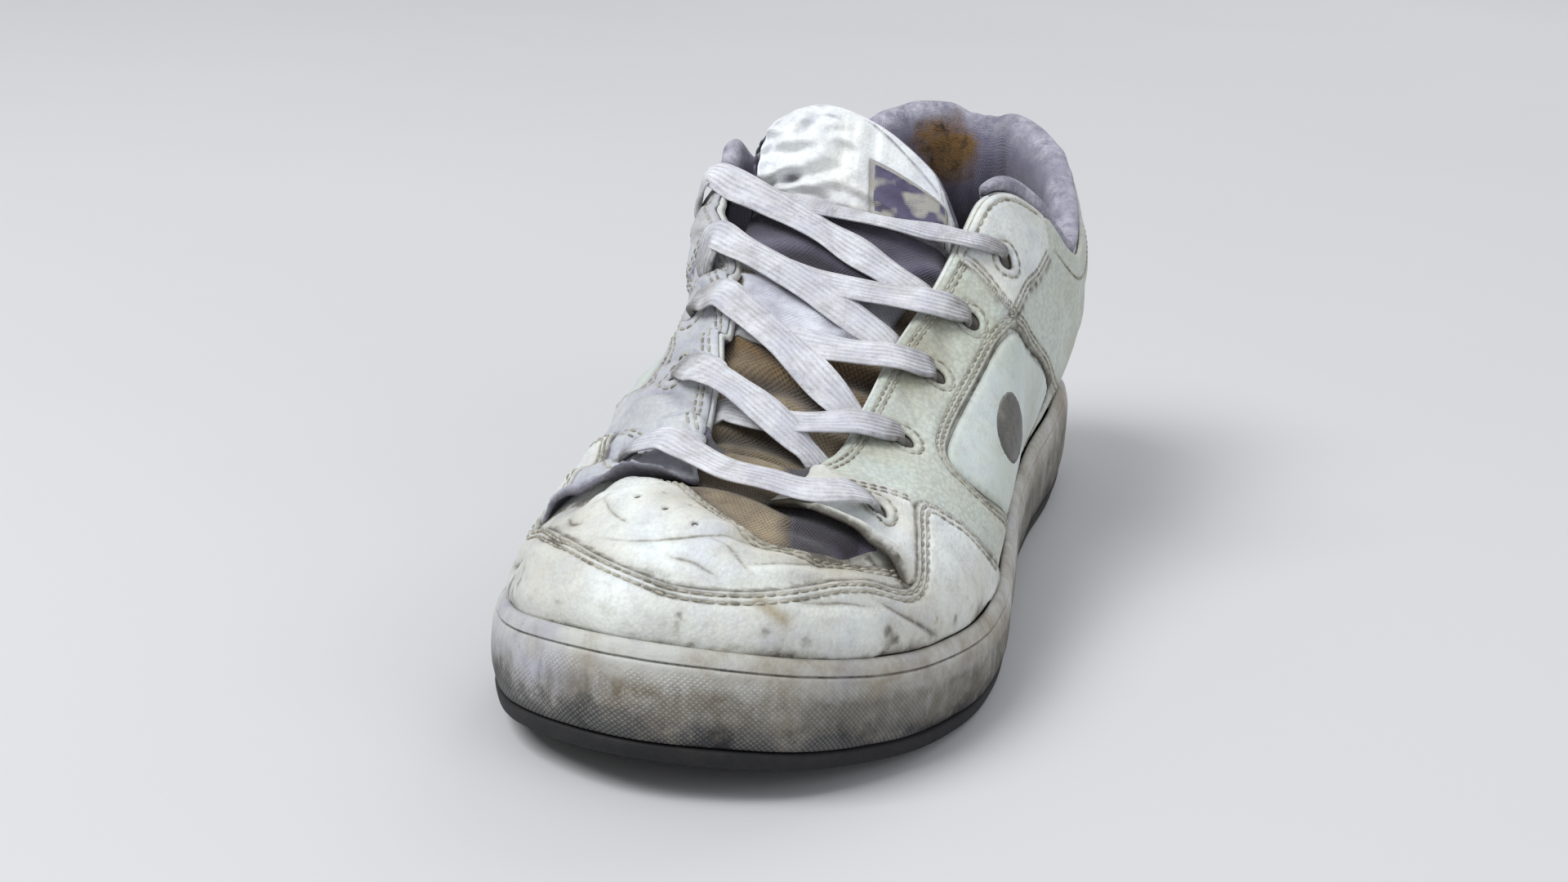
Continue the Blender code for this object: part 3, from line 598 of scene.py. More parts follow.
def resample(path: Array, step: float, closed: bool = False) -> Array:
    """Spread section places evenly along a line, by its true length on the skin.

    Args:
        path: Section places (u, v) in order.
        step: Distance in mm.
        closed: Whether the line comes back to its start.

    Returns:
        The new places.
    """
    if closed:
        path = np.concatenate([path, path[:1]])
    fine = np.concatenate([np.linspace(a, b, 8, endpoint=False) for a, b in zip(path[:-1], path[1:])] + [path[-1:]])
    length = run_along(LAST.skin(*fine.T))
    count = max(2, int(round(length[-1] / step)))
    at = np.linspace(0, length[-1], count + 1)
    places = np.stack([np.interp(at, length, fine[:, c]) for c in (0, 1)], axis=1)
    return places[:-1] if closed else places


def beside(path: Array, offset: float, closed: bool = False) -> Array:
    """Line at a distance beside another one on the skin.

    Args:
        path: Section places in order.
        offset: Distance to the left in mm, as seen from outside.
        closed: Whether the line comes back to its start.

    Returns:
        The moved section places.
    """
    ahead = np.roll(path, -1, axis=0) - np.roll(path, 1, axis=0)
    if not closed:
        ahead[0] = path[1] - path[0]
        ahead[-1] = path[-1] - path[-2]
    across, rise, normal = LAST.slopes(*path.T)
    run = unit(across * ahead[:, :1] + rise * ahead[:, 1:])
    move = np.cross(normal, run) * offset
    aa, ar, rr = ((p * q).sum(1) for p, q in ((across, across), (across, rise), (rise, rise)))
    ma, mr = (move * across).sum(1), (move * rise).sum(1)
    size = aa * rr - ar * ar
    return path + np.stack([(ma * rr - mr * ar) / size, (mr * aa - ma * ar) / size], axis=1)


class Node(Enum):
    """Kinds of node: Blender's type, its settings, the inputs that values fill in order, and the usual output."""

    PLACE = ("TexCoord", {}, (), "Object")
    MAPPING = ("Mapping", {}, ("Vector", "Scale"), 0)
    CLOTH = ("UVMap", {"uv_map": "UVMap"}, (), 0)
    GRIME_AND_SHADE = ("Attribute", {"attribute_name": Mask.GRIME_AND_SHADE.value}, (), "Fac")
    TINT = ("Attribute", {"attribute_name": Mask.TINT.value}, (), "Fac")
    ZONE = ("Attribute", {"attribute_name": Mask.ZONE.value}, (), "Fac")
    NOISE = ("TexNoise", {}, ("Scale", "Detail"), "Fac")
    CELLS = ("TexVoronoi", {}, ("Scale",), "Distance")
    AXIS = ("SeparateXYZ", {}, (0,), "X")
    RANGE = ("MapRange", {}, (0, 1, 2, 3, 4), 0)
    MIX = ("Mix", {"data_type": "RGBA"}, (0, 6, 7), 2)
    DARKEN = ("Mix", {"data_type": "RGBA", "blend_type": "MULTIPLY"}, (0, 6, 7), 2)
    ADD = ("Math", {"operation": "ADD"}, (0, 1), 0)
    MULTIPLY = ("Math", {"operation": "MULTIPLY"}, (0, 1), 0)
    MINIMUM = ("Math", {"operation": "MINIMUM"}, (0, 1), 0)
    ABSOLUTE = ("Math", {"operation": "ABSOLUTE"}, (0,), 0)
    SINE = ("Math", {"operation": "SINE"}, (0,), 0)
    BUMP = ("Bump", {}, ("Height", "Distance"), 0)


class Graph:
    """Node tree of one material, with places in millimetres."""

    def __init__(self, name: str) -> None:
        """Start a material with its shader and coordinates.

        Args:
            name: Name of the material.
        """
        self.material = bpy.data.materials.new(name)
        self.material.use_nodes = True
        self.tree = self.material.node_tree
        self.shader = self.tree.nodes["Principled BSDF"]
        self.mm = self.add(Node.MAPPING, self.add(Node.PLACE), (1 / MM, 1 / MM, 1 / MM))
        self.cloth = self.add(Node.CLOTH)

    def add(self, kind: Node, *values: Any, out: Any = None, **more: Any) -> Socket:
        """Add a node with its settings and links. A pattern reads places in mm unless told otherwise.

        Args:
            kind: Kind of node.
            values: Numbers, hex colours or output sockets for its inputs in order.
            out: Output that is wanted in place of the usual one.
            more: Inputs by name where the name starts with a capital, else settings.

        Returns:
            The output socket.
        """
        name, settings, sockets, usual = kind.value
        node = self.tree.nodes.new("ShaderNode" + name)
        inputs = dict(zip(sockets, values))
        if kind in (Node.NOISE, Node.CELLS):
            inputs["Vector"] = self.mm
        for key, value in {**settings, **more}.items():
            if key[0].isupper():
                inputs[key] = value
            else:
                setattr(node, key, value)
        for key, value in inputs.items():
            if isinstance(value, Socket):
                self.tree.links.new(value, node.inputs[key])
            else:
                node.inputs[key].default_value = linear(value) if isinstance(value, str) else value
        return node.outputs[usual if out is None else out]

    def clouds(self, size: float, detail: float, rough: float, low: float, high: float,
               least: float = 0.0, most: float = 1.0) -> Socket:
        """Cloudy pattern brought to a range of its own.

        Args:
            size: Width of a cloud in mm.
            detail: How many finer layers its edge has.
            rough: How strong they are.
            low: Pattern value where the range starts.
            high: Pattern value where it ends.
            least: Result at its start.
            most: Result at its end.

        Returns:
            The pattern.
        """
        return self.add(Node.RANGE, self.add(Node.NOISE, 1 / size, detail, Roughness=rough), low, high, least, most)

    def blotched(self, under: Any, over: Any, size: float, detail: float, rough: float, low: float, high: float,
                 share: float = 1.0) -> Socket:
        """Lay a colour over another one in cloudy blotches.

        Args:
            under: Colour below.
            over: Colour of the blotches.
            size: Width of a blotch in mm.
            detail: How many finer layers its edge has.
            rough: How strong they are.
            low: Pattern value where the blotches start.
            high: Pattern value where they are full.
            share: How far the full blotches cover.

        Returns:
            The colour.
        """
        return self.add(Node.MIX, self.clouds(size, detail, rough, low, high, 0.0, share), under, over)

    def finish(self, colour: Any, roughness: Any, height: Any = None, depth: float = 0.0, **fixed: Any) -> Material:
        """Plug the shader.

        Args:
            colour: Output or hex colour.
            roughness: Output or number.
            height: Output with the relief, where the surface has one.
            depth: Depth of the relief in mm.
            fixed: Numbers set on the shader's own sockets.

        Returns:
            The material.
        """
        bump = self.add(Node.BUMP, height, depth * MM) if height is not None else None
        for name, value in (("Base Color", colour), ("Roughness", roughness), ("Normal", bump)):
            if isinstance(value, Socket):
                self.tree.links.new(value, self.shader.inputs[name])
            elif value is not None:
                self.shader.inputs[name].default_value = linear(value) if isinstance(value, str) else value
        for name, value in fixed.items():
            self.shader.inputs[name.replace("_", " ")].default_value = value
        return self.material


@dataclass(frozen=True)
class Leather:
    """Coated cowhide, milled and pressed: pebbled grain under a worn satin coat.

    Attributes:
        name: Name of the material.
        base: Clean colour.
        shade: Colour of its yellowed patches.
        cool: Colour of its greyed patches.
        grain: Width of a grain pebble in mm.
        relief: Height of the grain in mm.
        dust: How dark the creases between the pebbles are.
        dirt_and_shade: Colour of the dirt settled in seams and folds, and of the painted shade there and under
            panels.
        film_and_shade: Colour of the thin film of dirt and painted shade round them.
    """

    name: str
    base: str = "#E6EBE7"
    shade: str = "#D6D5C9"
    cool: str = "#C8CCD4"
    grain: float = 0.9
    relief: float = 0.1
    dust: float = 0.1
    dirt_and_shade: str = "#565147"
    film_and_shade: str = "#9A9485"

    def material(self) -> Material:
        """Build the node material.

        Returns:
            The material.
        """
        g = Graph(self.name)
        grime_and_shade = g.add(Node.GRIME_AND_SHADE)
        colour = g.blotched(self.base, self.shade, 26.0, 5.0, 0.5, 0.38, 0.66)
        colour = g.blotched(colour, self.cool, 11.0, 5.0, 0.65, 0.46, 0.7, 0.7)
        # painted shade: the inner side, turned from the light, gets a lilac grey cast in clouds
        across = g.add(Node.AXIS, g.mm)
        inner_side_shade = g.add(Node.MULTIPLY, g.add(Node.RANGE, across, -14.0, -50.0), g.clouds(9.0, 6.0, 0.7, 0.32, 0.62))
        colour = g.add(Node.MIX, g.add(Node.MULTIPLY, inner_side_shade, 0.5), colour, "#B7B8C3")
        yellow = g.add(Node.RANGE, g.add(Node.TINT), 0.0, 1.0, 0.0, 0.85)
        colour = g.add(Node.DARKEN, yellow, colour, "#A98F5E")
        # pebbles at their real width, and between them fine creases that hold dust
        cells = g.add(Node.CELLS, 1 / self.grain)
        fine = g.add(Node.NOISE, 1 / (self.grain * 0.6), 4.0, Roughness=0.7)
        dusty = g.add(Node.RANGE, cells, 0.3, 0.8, 0.0, self.dust)
        colour = g.add(Node.DARKEN, dusty, colour, "#8E8C80")
        colour = g.blotched(colour, "#A3A099", 3.2, 8.0, 0.8, 0.5, 0.72, 0.48)
        colour = g.blotched(colour, "#A6A192", 8.0, 8.0, 0.8, 0.54, 0.7, 0.35)
        # dirt and painted shade from the mask, broken up in rubbed clouds: a thin film first, then the dark colour
        rubbed = g.clouds(5.0, 6.0, 0.75, 0.3, 0.72)
        soaked = g.add(Node.MULTIPLY, grime_and_shade, g.add(Node.RANGE, rubbed, 0.0, 1.0, 0.5, 1.3))
        soaked = g.add(Node.RANGE, soaked, 0.1, 0.95)
        colour = g.add(Node.MIX, g.add(Node.RANGE, soaked, 0.0, 0.6, 0.0, 0.5), colour, self.film_and_shade)
        colour = g.add(Node.MIX, g.add(Node.RANGE, soaked, 0.35, 1.0, 0.0, 0.9), colour, self.dirt_and_shade)
        colour = g.blotched(colour, "#6F695C", 1.9, 3.0, 0.9, 0.69, 0.76, 0.6)
        height = g.add(Node.ADD, g.add(Node.MULTIPLY, cells, -0.8), g.add(Node.MULTIPLY, fine, 0.9))
        rough = g.add(Node.RANGE, rubbed, 0.0, 1.0, 0.4, 0.6)
        return g.finish(colour, rough, height, self.relief, IOR=1.5, Coat_Weight=0.1, Coat_Roughness=0.4,
                        Specular_IOR_Level=0.45)


@dataclass(frozen=True)
class Rubber:
    """Moulded grey-white rubber of the sidewall, scuffed and stained, with painted shade low down."""

    name: str = "moulded sidewall rubber, scuffed"
    base: str = "#BCBCB6"

    def material(self) -> Material:
        """Build the node material.

        Returns:
            The material.
        """
        g = Graph(self.name)
        grime_and_shade = g.add(Node.GRIME_AND_SHADE)
        across = g.add(Node.AXIS, g.mm)
        more_left = g.add(Node.RANGE, across, -50.0, 0.0, 0.07, -0.08)
        lilac = g.add(Node.ADD, g.add(Node.NOISE, 1 / 14.0, 6.0, Roughness=0.65), more_left)
        colour = g.add(Node.MIX, g.add(Node.RANGE, lilac, 0.42, 0.64), self.base, "#A5A3AB")
        more_right = g.add(Node.RANGE, across, -25.0, 10.0, -0.13, 0.07)
        brown = g.add(Node.ADD, g.add(Node.NOISE, 1 / 17.0, 7.0, Roughness=0.72), more_right)
        colour = g.add(Node.MIX, g.add(Node.RANGE, brown, 0.46, 0.68, 0.0, 0.7), colour, "#85775F")
        below = g.add(Node.TINT)
        # left, middle and right of the toe wear a lilac, a brown and a greenish film: dirt with painted shade low
        # down
        film_and_shade = g.add(Node.MIX, g.add(Node.RANGE, across, -26.0, -12.0), "#AFB0BB", "#6C5E47")
        film_and_shade = g.add(Node.MIX, g.add(Node.RANGE, across, 5.0, 30.0), film_and_shade, "#57564B")
        cloudy = g.add(Node.MULTIPLY, g.clouds(10.0, 7.0, 0.7, 0.34, 0.58, 0.2, 1.0), below)
        colour = g.add(Node.MIX, cloudy, colour, film_and_shade)
        drips = g.add(Node.MAPPING, g.cloth, (0.35, 0.05, 1.0))
        drips = g.add(Node.NOISE, 1.0, 6.0, Roughness=0.7, Vector=drips)
        # dark runs of dried mud, and paler ones washed clean between them
        for span, run in (((0.5, 0.66, 0.0, 0.6), "#5C5447"), ((0.3, 0.44, 0.6, 0.0), "#C0C1C8")):
            share = g.add(Node.MULTIPLY, g.add(Node.RANGE, drips, *span), below)
            colour = g.add(Node.MIX, share, colour, run)
        colour = g.blotched(colour, "#6F6A62", 3.0, 8.0, 0.85, 0.55, 0.72, 0.55)
        smear = g.add(Node.NOISE, 1 / 6.0, 8.0, Roughness=0.8)
        # dirt and painted shade from the mask, in smears: the lower wall goes dark brown, then near black
        dark = g.add(Node.MULTIPLY, grime_and_shade, g.add(Node.RANGE, smear, 0.3, 0.7, 0.35, 1.65))
        colour = g.add(Node.MIX, g.add(Node.RANGE, dark, 0.05, 0.8, 0.0, 0.85), colour, "#5B564C")
        colour = g.add(Node.MIX, g.add(Node.RANGE, dark, 0.55, 1.25), colour, "#1E1E20")
        # the moulded diagonal mesh has 1.2 mm squares, worn flat in places
        axes = g.add(Node.AXIS, g.cloth), g.add(Node.AXIS, g.cloth, out="Y")
        waves = []
        for sign in (1.0, -1.0):
            line = g.add(Node.ADD, axes[0], g.add(Node.MULTIPLY, axes[1], sign))
            waves.append(g.add(Node.ABSOLUTE, g.add(Node.SINE, g.add(Node.MULTIPLY, line, math.pi / 1.2))))
        mesh = g.add(Node.MULTIPLY, g.add(Node.MINIMUM, waves[0], waves[1]), g.add(Node.ZONE))
        worn = g.clouds(9.0, 5.0, 0.5, 0.35, 0.62)
        mesh = g.add(Node.MULTIPLY, mesh, worn)
        colour = g.add(Node.MIX, g.add(Node.RANGE, mesh, 0.0, 0.45, 0.0, 0.16), colour, "#D9D7D3")
        height = g.add(Node.ADD, mesh, g.add(Node.MULTIPLY, g.add(Node.NOISE, 1 / 0.7, 4.0), 0.7))
        rough = g.add(Node.RANGE, smear, 0.3, 0.7, 0.5, 0.78)
        return g.finish(colour, rough, height, 0.22, IOR=1.52, Specular_IOR_Level=0.4)


@dataclass(frozen=True)
class Tread:
    """Dark moulded outsole rubber, matt with dust in its pores."""

    name: str = "moulded outsole rubber, dusty"

    def material(self) -> Material:
        """Build the node material.

        Returns:
            The material.
        """
        g = Graph(self.name)
        colour = g.blotched("#17171A", "#3B3732", 8.0, 8.0, 0.8, 0.46, 0.74, 0.45)
        height = g.add(Node.NOISE, 1 / 0.5, 5.0)
        return g.finish(colour, 0.82, height, 0.2, IOR=1.52)


@dataclass(frozen=True)
class Cloth:
    """Knitted or woven textile with a fine thread pattern.

    Attributes:
        name: Name of the material.
        base: Clean colour.
        soiled: Colour where it is dirty.
        pitch: Distance between threads in mm, drawn coarser than the real one where it would not show.
        relief: Height of the threads in mm.
        stain: Colour of the tinted places.
        fuzz: Weight of the sheen of its loose fibres.
        mould: How much of the tinted places has gone dark.
    """

    name: str
    base: str
    soiled: str
    pitch: float = 0.8
    relief: float = 0.15
    stain: str = "#8A6424"
    fuzz: float = 0.25
    mould: float = 0.0

    def material(self) -> Material:
        """Build the node material.

        Returns:
            The material.
        """
        g = Graph(self.name)
        grime_and_shade = g.add(Node.GRIME_AND_SHADE)
        colour = g.blotched(self.base, self.soiled, 11.0, 6.0, 0.65, 0.36, 0.7)
        # where it is rubbed, on the crest, the knit is bleached and carries more lint, with a painted highlight
        lint_and_highlight = g.add(Node.MULTIPLY, g.add(Node.ZONE), g.clouds(4.0, 8.0, 0.8, 0.36, 0.62))
        colour = g.add(Node.MIX, lint_and_highlight, colour, "#D2D2DC")
        patch = g.add(Node.MULTIPLY, g.add(Node.TINT), g.clouds(4.0, 6.0, 0.75, 0.3, 0.58, 0.55, 1.25))
        colour = g.add(Node.MIX, g.add(Node.RANGE, patch, 0.1, 0.75, 0.0, 0.92), colour, self.stain)
        gone = g.clouds(4.5, 7.0, 0.8, 0.47, 0.62, 0.0, self.mould)
        colour = g.add(Node.MIX, g.add(Node.MULTIPLY, g.add(Node.RANGE, patch, 0.1, 0.6), gone), colour, "#33291C")
        waves = []
        for axis, shift in (("X", 0.0), ("Y", 0.7)):
            line = g.add(Node.AXIS, g.cloth, out=axis)
            line = g.add(Node.ADD, line, g.add(Node.MULTIPLY, g.add(Node.NOISE, 1 / 5.0, 2.0), 0.6 + shift))
            waves.append(g.add(Node.SINE, g.add(Node.MULTIPLY, line, 2 * math.pi / self.pitch)))
        weave = g.add(Node.MULTIPLY, waves[0], waves[1])
        threads = g.add(Node.RANGE, weave, -1.0, 1.0)
        colour = g.add(Node.DARKEN, g.add(Node.RANGE, threads, 0.0, 0.5, 0.26, 0.0), colour, "#4A464A")
        # dirt and painted shade from the mask: inside the shoe, under the wings and low on the tongue
        colour = g.add(Node.MIX, g.add(Node.RANGE, grime_and_shade, 0.05, 1.0, 0.0, 0.9), colour, "#2B2729")
        colour = g.blotched(colour, "#C9C5C6", 0.9, 5.0, 0.9, 0.66, 0.8, 0.35)
        height = g.add(Node.ADD, threads, g.add(Node.NOISE, 1 / 0.6, 4.0))
        return g.finish(colour, 0.92, height, self.relief, IOR=1.53, Sheen_Weight=self.fuzz, Sheen_Roughness=0.5,
                        Specular_IOR_Level=0.2)


@dataclass(frozen=True)
class Braid:
    """Flat braided cotton lace, grey with handling, its plaits running to the edges."""

    name: str = "flat braided cotton, handled"
    base: str = "#E9EAEE"
    soiled: str = "#BDBABC"

    def material(self) -> Material:
        """Build the node material.

        Returns:
            The material.
        """
        g = Graph(self.name)
        colour = g.blotched(self.base, self.soiled, 7.0, 6.0, 0.7, 0.38, 0.7)
        colour = g.blotched(colour, "#C0C1CF", 9.0, 5.0, 0.5, 0.45, 0.62, 0.45)
        run = g.add(Node.AXIS, g.cloth)
        over = g.add(Node.AXIS, g.cloth, out="Y")
        # plaits lean to the middle from both edges over flat cords, 1.2 and 1.45 mm apart: real yarn is half
        # as wide, and is drawn coarser so that it shows
        slant = g.add(Node.ADD, run, g.add(Node.MULTIPLY, g.add(Node.ABSOLUTE, over), 0.9))
        plait = g.add(Node.SINE, g.add(Node.MULTIPLY, slant, 2 * math.pi / 1.2))
        drift = g.add(Node.ADD, over, g.add(Node.MULTIPLY, g.add(Node.NOISE, 1 / 9.0, 2.0), 0.8))
        cord = g.add(Node.SINE, g.add(Node.MULTIPLY, drift, 2 * math.pi / 1.45))
        weave = g.add(Node.ADD, g.add(Node.MULTIPLY, plait, 0.1), g.add(Node.MULTIPLY, cord, 0.9))
        rib = g.add(Node.MULTIPLY, g.add(Node.RANGE, weave, -1.0, 0.2, 0.4, 0.0), g.clouds(4.0, 6.0, 0.5, 0.34, 0.62))
        colour = g.add(Node.DARKEN, rib, colour, "#7F7C86")
        colour = g.blotched(colour, "#918C88", 1.6, 8.0, 0.9, 0.53, 0.74, 0.55)
        colour = g.blotched(colour, "#8A8378", 5.0, 7.0, 0.8, 0.56, 0.7, 0.6)
        # dirt and painted shade from the mask, broken up in clouds
        grime_and_shade = g.add(Node.MULTIPLY, g.add(Node.GRIME_AND_SHADE), g.clouds(3.0, 5.0, 0.5, 0.3, 0.7, 0.6, 1.3))
        colour = g.add(Node.MIX, g.add(Node.RANGE, grime_and_shade, 0.1, 1.0, 0.0, 0.92), colour, "#4F4A40")
        height = g.add(Node.ADD, g.add(Node.MULTIPLY, weave, 0.5), g.add(Node.NOISE, 1 / 1.1, 6.0, Roughness=0.75))
        return g.finish(colour, 0.88, height, 0.3, IOR=1.53, Sheen_Weight=0.3, Sheen_Roughness=0.5,
                        Specular_IOR_Level=0.2)


@dataclass(frozen=True)
class Thread:
    """Twisted polyester sewing thread, grey with dirt, its strands 0.3 mm apart."""

    name: str = "twisted polyester thread, dirty"
    base: str = "#BAB6A8"

    def material(self) -> Material:
        """Build the node material.

        Returns:
            The material.
        """
        g = Graph(self.name)
        colour = g.blotched(self.base, "#7A7466", 4.0, 4.0, 0.5, 0.35, 0.65)
        return g.finish(colour, 0.7, g.add(Node.NOISE, 1 / 0.3, 2.0), 0.08, IOR=1.57)


@dataclass(frozen=True)
class Foam:
    """Felt-faced foam of the insole, flattened and dusty."""

    name: str = "felt faced foam, dusty"

    def material(self) -> Material:
        """Build the node material.

        Returns:
            The material.
        """
        g = Graph(self.name)
        colour = g.blotched("#6A6468", "#454045", 9.0, 6.0, 0.5, 0.35, 0.65)
        return g.finish(colour, 0.95, g.add(Node.NOISE, 1 / 0.6, 5.0), 0.2, IOR=1.5, Sheen_Weight=0.2)


@dataclass(frozen=True)
class Board:
    """Matt painted studio floor, pale grey with the faintest unevenness."""

    name: str = "matt painted board"

    def material(self) -> Material:
        """Build the node material.

        Returns:
            The material.
        """
        g = Graph(self.name)
        colour = g.blotched("#CBCBCB", "#C9C9C9", 300.0, 3.0, 0.5, 0.3, 0.7)
        return g.finish(colour, 0.9, Specular_IOR_Level=0.2)


@dataclass
class Piece:
    """One mesh on its way to becoming an object: points in mm, faces and what its finish reads."""

    name: str
    points: Array
    faces: list
    finishes: list
    masks: dict = field(default_factory=dict)
    cloth: Optional[Array] = None
    face_finish: Optional[Array] = None

    def make(self, nodes: Sequence[str], slot: str) -> Object:
        """Make the object and hand it to the frame.

        Args:
            nodes: Solids of the frame that it stands for.
            slot: Material slot of the record; it is not used.

        Returns:
            The object.
        """
        mesh = bpy.data.meshes.new(self.name)
        world = (np.asarray(self.points) - (CENTRE_X, 0, 0)) * MM
        mesh.from_pydata(world.tolist(), [], self.faces)
        mesh.polygons.foreach_set("use_smooth", np.ones(len(mesh.polygons), bool))
        for finish in self.finishes:
            mesh.materials.append(finish)
        if self.face_finish is not None:
            mesh.polygons.foreach_set("material_index", np.asarray(self.face_finish, np.int32))
        for mask in Mask:
            values = self.masks.get(mask, np.zeros(len(world)))
            layer = mesh.attributes.new(mask.value, "FLOAT", "POINT")
            layer.data.foreach_set("value", np.asarray(values, np.float32))
        loops = np.zeros(len(mesh.loops), np.int32)
        mesh.loops.foreach_get("vertex_index", loops)
        flat = self.cloth if self.cloth is not None else np.asarray(self.points)[:, :2]
        layer = mesh.uv_layers.new(name="UVMap")
        layer.data.foreach_set("uv", np.asarray(flat, np.float32)[loops].ravel())
        mesh.validate()
        mesh.update()
        item = bpy.data.objects.new(self.name, mesh)
        bpy.context.scene.collection.objects.link(item)
        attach(item, "root")
        if nodes:
            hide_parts(*nodes)
        LOG.info("%s: %d points, %d faces", self.name, len(world), len(self.faces))
        return item


@dataclass(frozen=True)
class Seam:
    """Rows of stitching beside a line on the upper.

    Attributes:
        path: Section places that the rows follow.
        offsets: Distances of the rows below a line that runs towards the toe, in mm.
        corners: How often the line's corners are cut.
    """

    path: UV
    offsets: tuple = (1.9, 3.8)
    corners: int = 3

    def rows(self, side: Side) -> list:
        """Section places of each row.

        Args:
            side: Side of the shoe.

        Returns:
            One array of places for each row.
        """
        line = side.path(self.path)
        line = cut_corners(resample(line, 4.0), self.corners, False)
        line = resample(line, 1.0)
        turn = -1.0 if side is Side.INNER else 1.0
        rows = []
        for offset in self.offsets:
            row = beside(line, offset * turn)
            row = resample(cut_corners(resample(row, 2.0), 1, False), 0.8)
            rows.append(row)
        return rows


@dataclass
class Stitching:
    """Sewing thread standing out of its row of needle holes."""

    pitch: float = 2.6
    length: float = 2.15
    radius: float = 0.31
    sides: int = 6
    points: list = field(default_factory=list)
    faces: list = field(default_factory=list)
    count: int = 0

    def sew(self, places: Array, depths: Array) -> None:
        """Add the stitches of one row.

        Args:
            places: Section places along the row.
            depths: Height of the leather over the bare skin at each place in mm.
        """
        line = LAST.lay(*places.T, depths)
        normal = LAST.slopes(*places.T)[2]
        length = run_along(line)
        count = int(length[-1] / self.pitch)
        sides = self.sides
        rise = np.array([-0.45, -0.02, 0.16, 0.2, 0.16, -0.02, -0.45])
        thick = np.array([0.5, 0.85, 1.0, 1.0, 1.0, 0.85, 0.5]) * self.radius
        share = np.array([-0.5, -0.42, -0.22, 0.0, 0.22, 0.42, 0.5]) * self.length
        turn = np.arange(sides) * 2 * math.pi / sides
        for k in range(count):
            at = (k + 0.5) * self.pitch + share
            middle = np.stack([np.interp(at, length, line[:, c]) for c in range(3)], axis=1)
            out = np.stack([np.interp(at, length, normal[:, c]) for c in range(3)], axis=1)
            run = middle[-1] - middle[0]
            run = run / (np.linalg.norm(run) + 1e-9)
            out = out - run * (out @ run)[:, None]
            out = unit(out)
            beside_it = np.cross(run, out)
            centre = middle + out * rise[:, None]
            ring = (np.cos(turn)[None, :, None] * beside_it[:, None] + np.sin(turn)[None, :, None] * out[:, None])
            ring = centre[:, None] + ring * thick[:, None, None]
            start = self.count
            self.points.append(ring.reshape(-1, 3))
            self.faces += grid_quads(len(rise), sides, True, start)
            self.faces.append(tuple(start + i for i in reversed(range(sides))))
            self.faces.append(tuple(start + (len(rise) - 1) * sides + i for i in range(sides)))
            self.count += len(rise) * sides

    def make(self, name: str, slot: str) -> Optional[Object]:
        """Make the object of all rows sewn so far.

        Args:
            name: Name of the piece.
            slot: Material slot.

        Returns:
            The object, or nothing where no row was sewn.
        """
        if not self.points:
            return None
        finish = bpy.data.materials.get(Thread().name) or Thread().material()
        return Piece(name, np.concatenate(self.points), self.faces, [finish]).make((), slot)


@dataclass(frozen=True)
class Hole:
    """Round hole through a panel.

    Attributes:
        u: Place round the shoe.
        v: Place up the section.
        radius: Radius in mm.
        ring: Radius of the stitched ring round it in mm, 0 for none.
    """

    u: float
    v: float
    radius: float = 2.2
    ring: float = 0.0

    def circle(self, radius: float, count: int) -> Array:
        """Section places on a circle round the hole.

        Args:
            radius: Radius in mm.
            count: Number of places.

        Returns:
            The places in order.
        """
        across, rise, _ = LAST.slopes(np.array([self.u]), np.array([self.v]))
        a, b = across[0], rise[0]
        first = a / np.linalg.norm(a)
        second = b - first * (b @ first)
        second /= np.linalg.norm(second)
        turn = np.arange(count) * 2 * math.pi / count
        move = np.cos(turn)[:, None] * first + np.sin(turn)[:, None] * second
        grid = np.stack([a, b], axis=1)
        steps = np.linalg.lstsq(grid, (move * radius).T, rcond=None)[0].T
        return np.array([self.u, self.v]) + steps


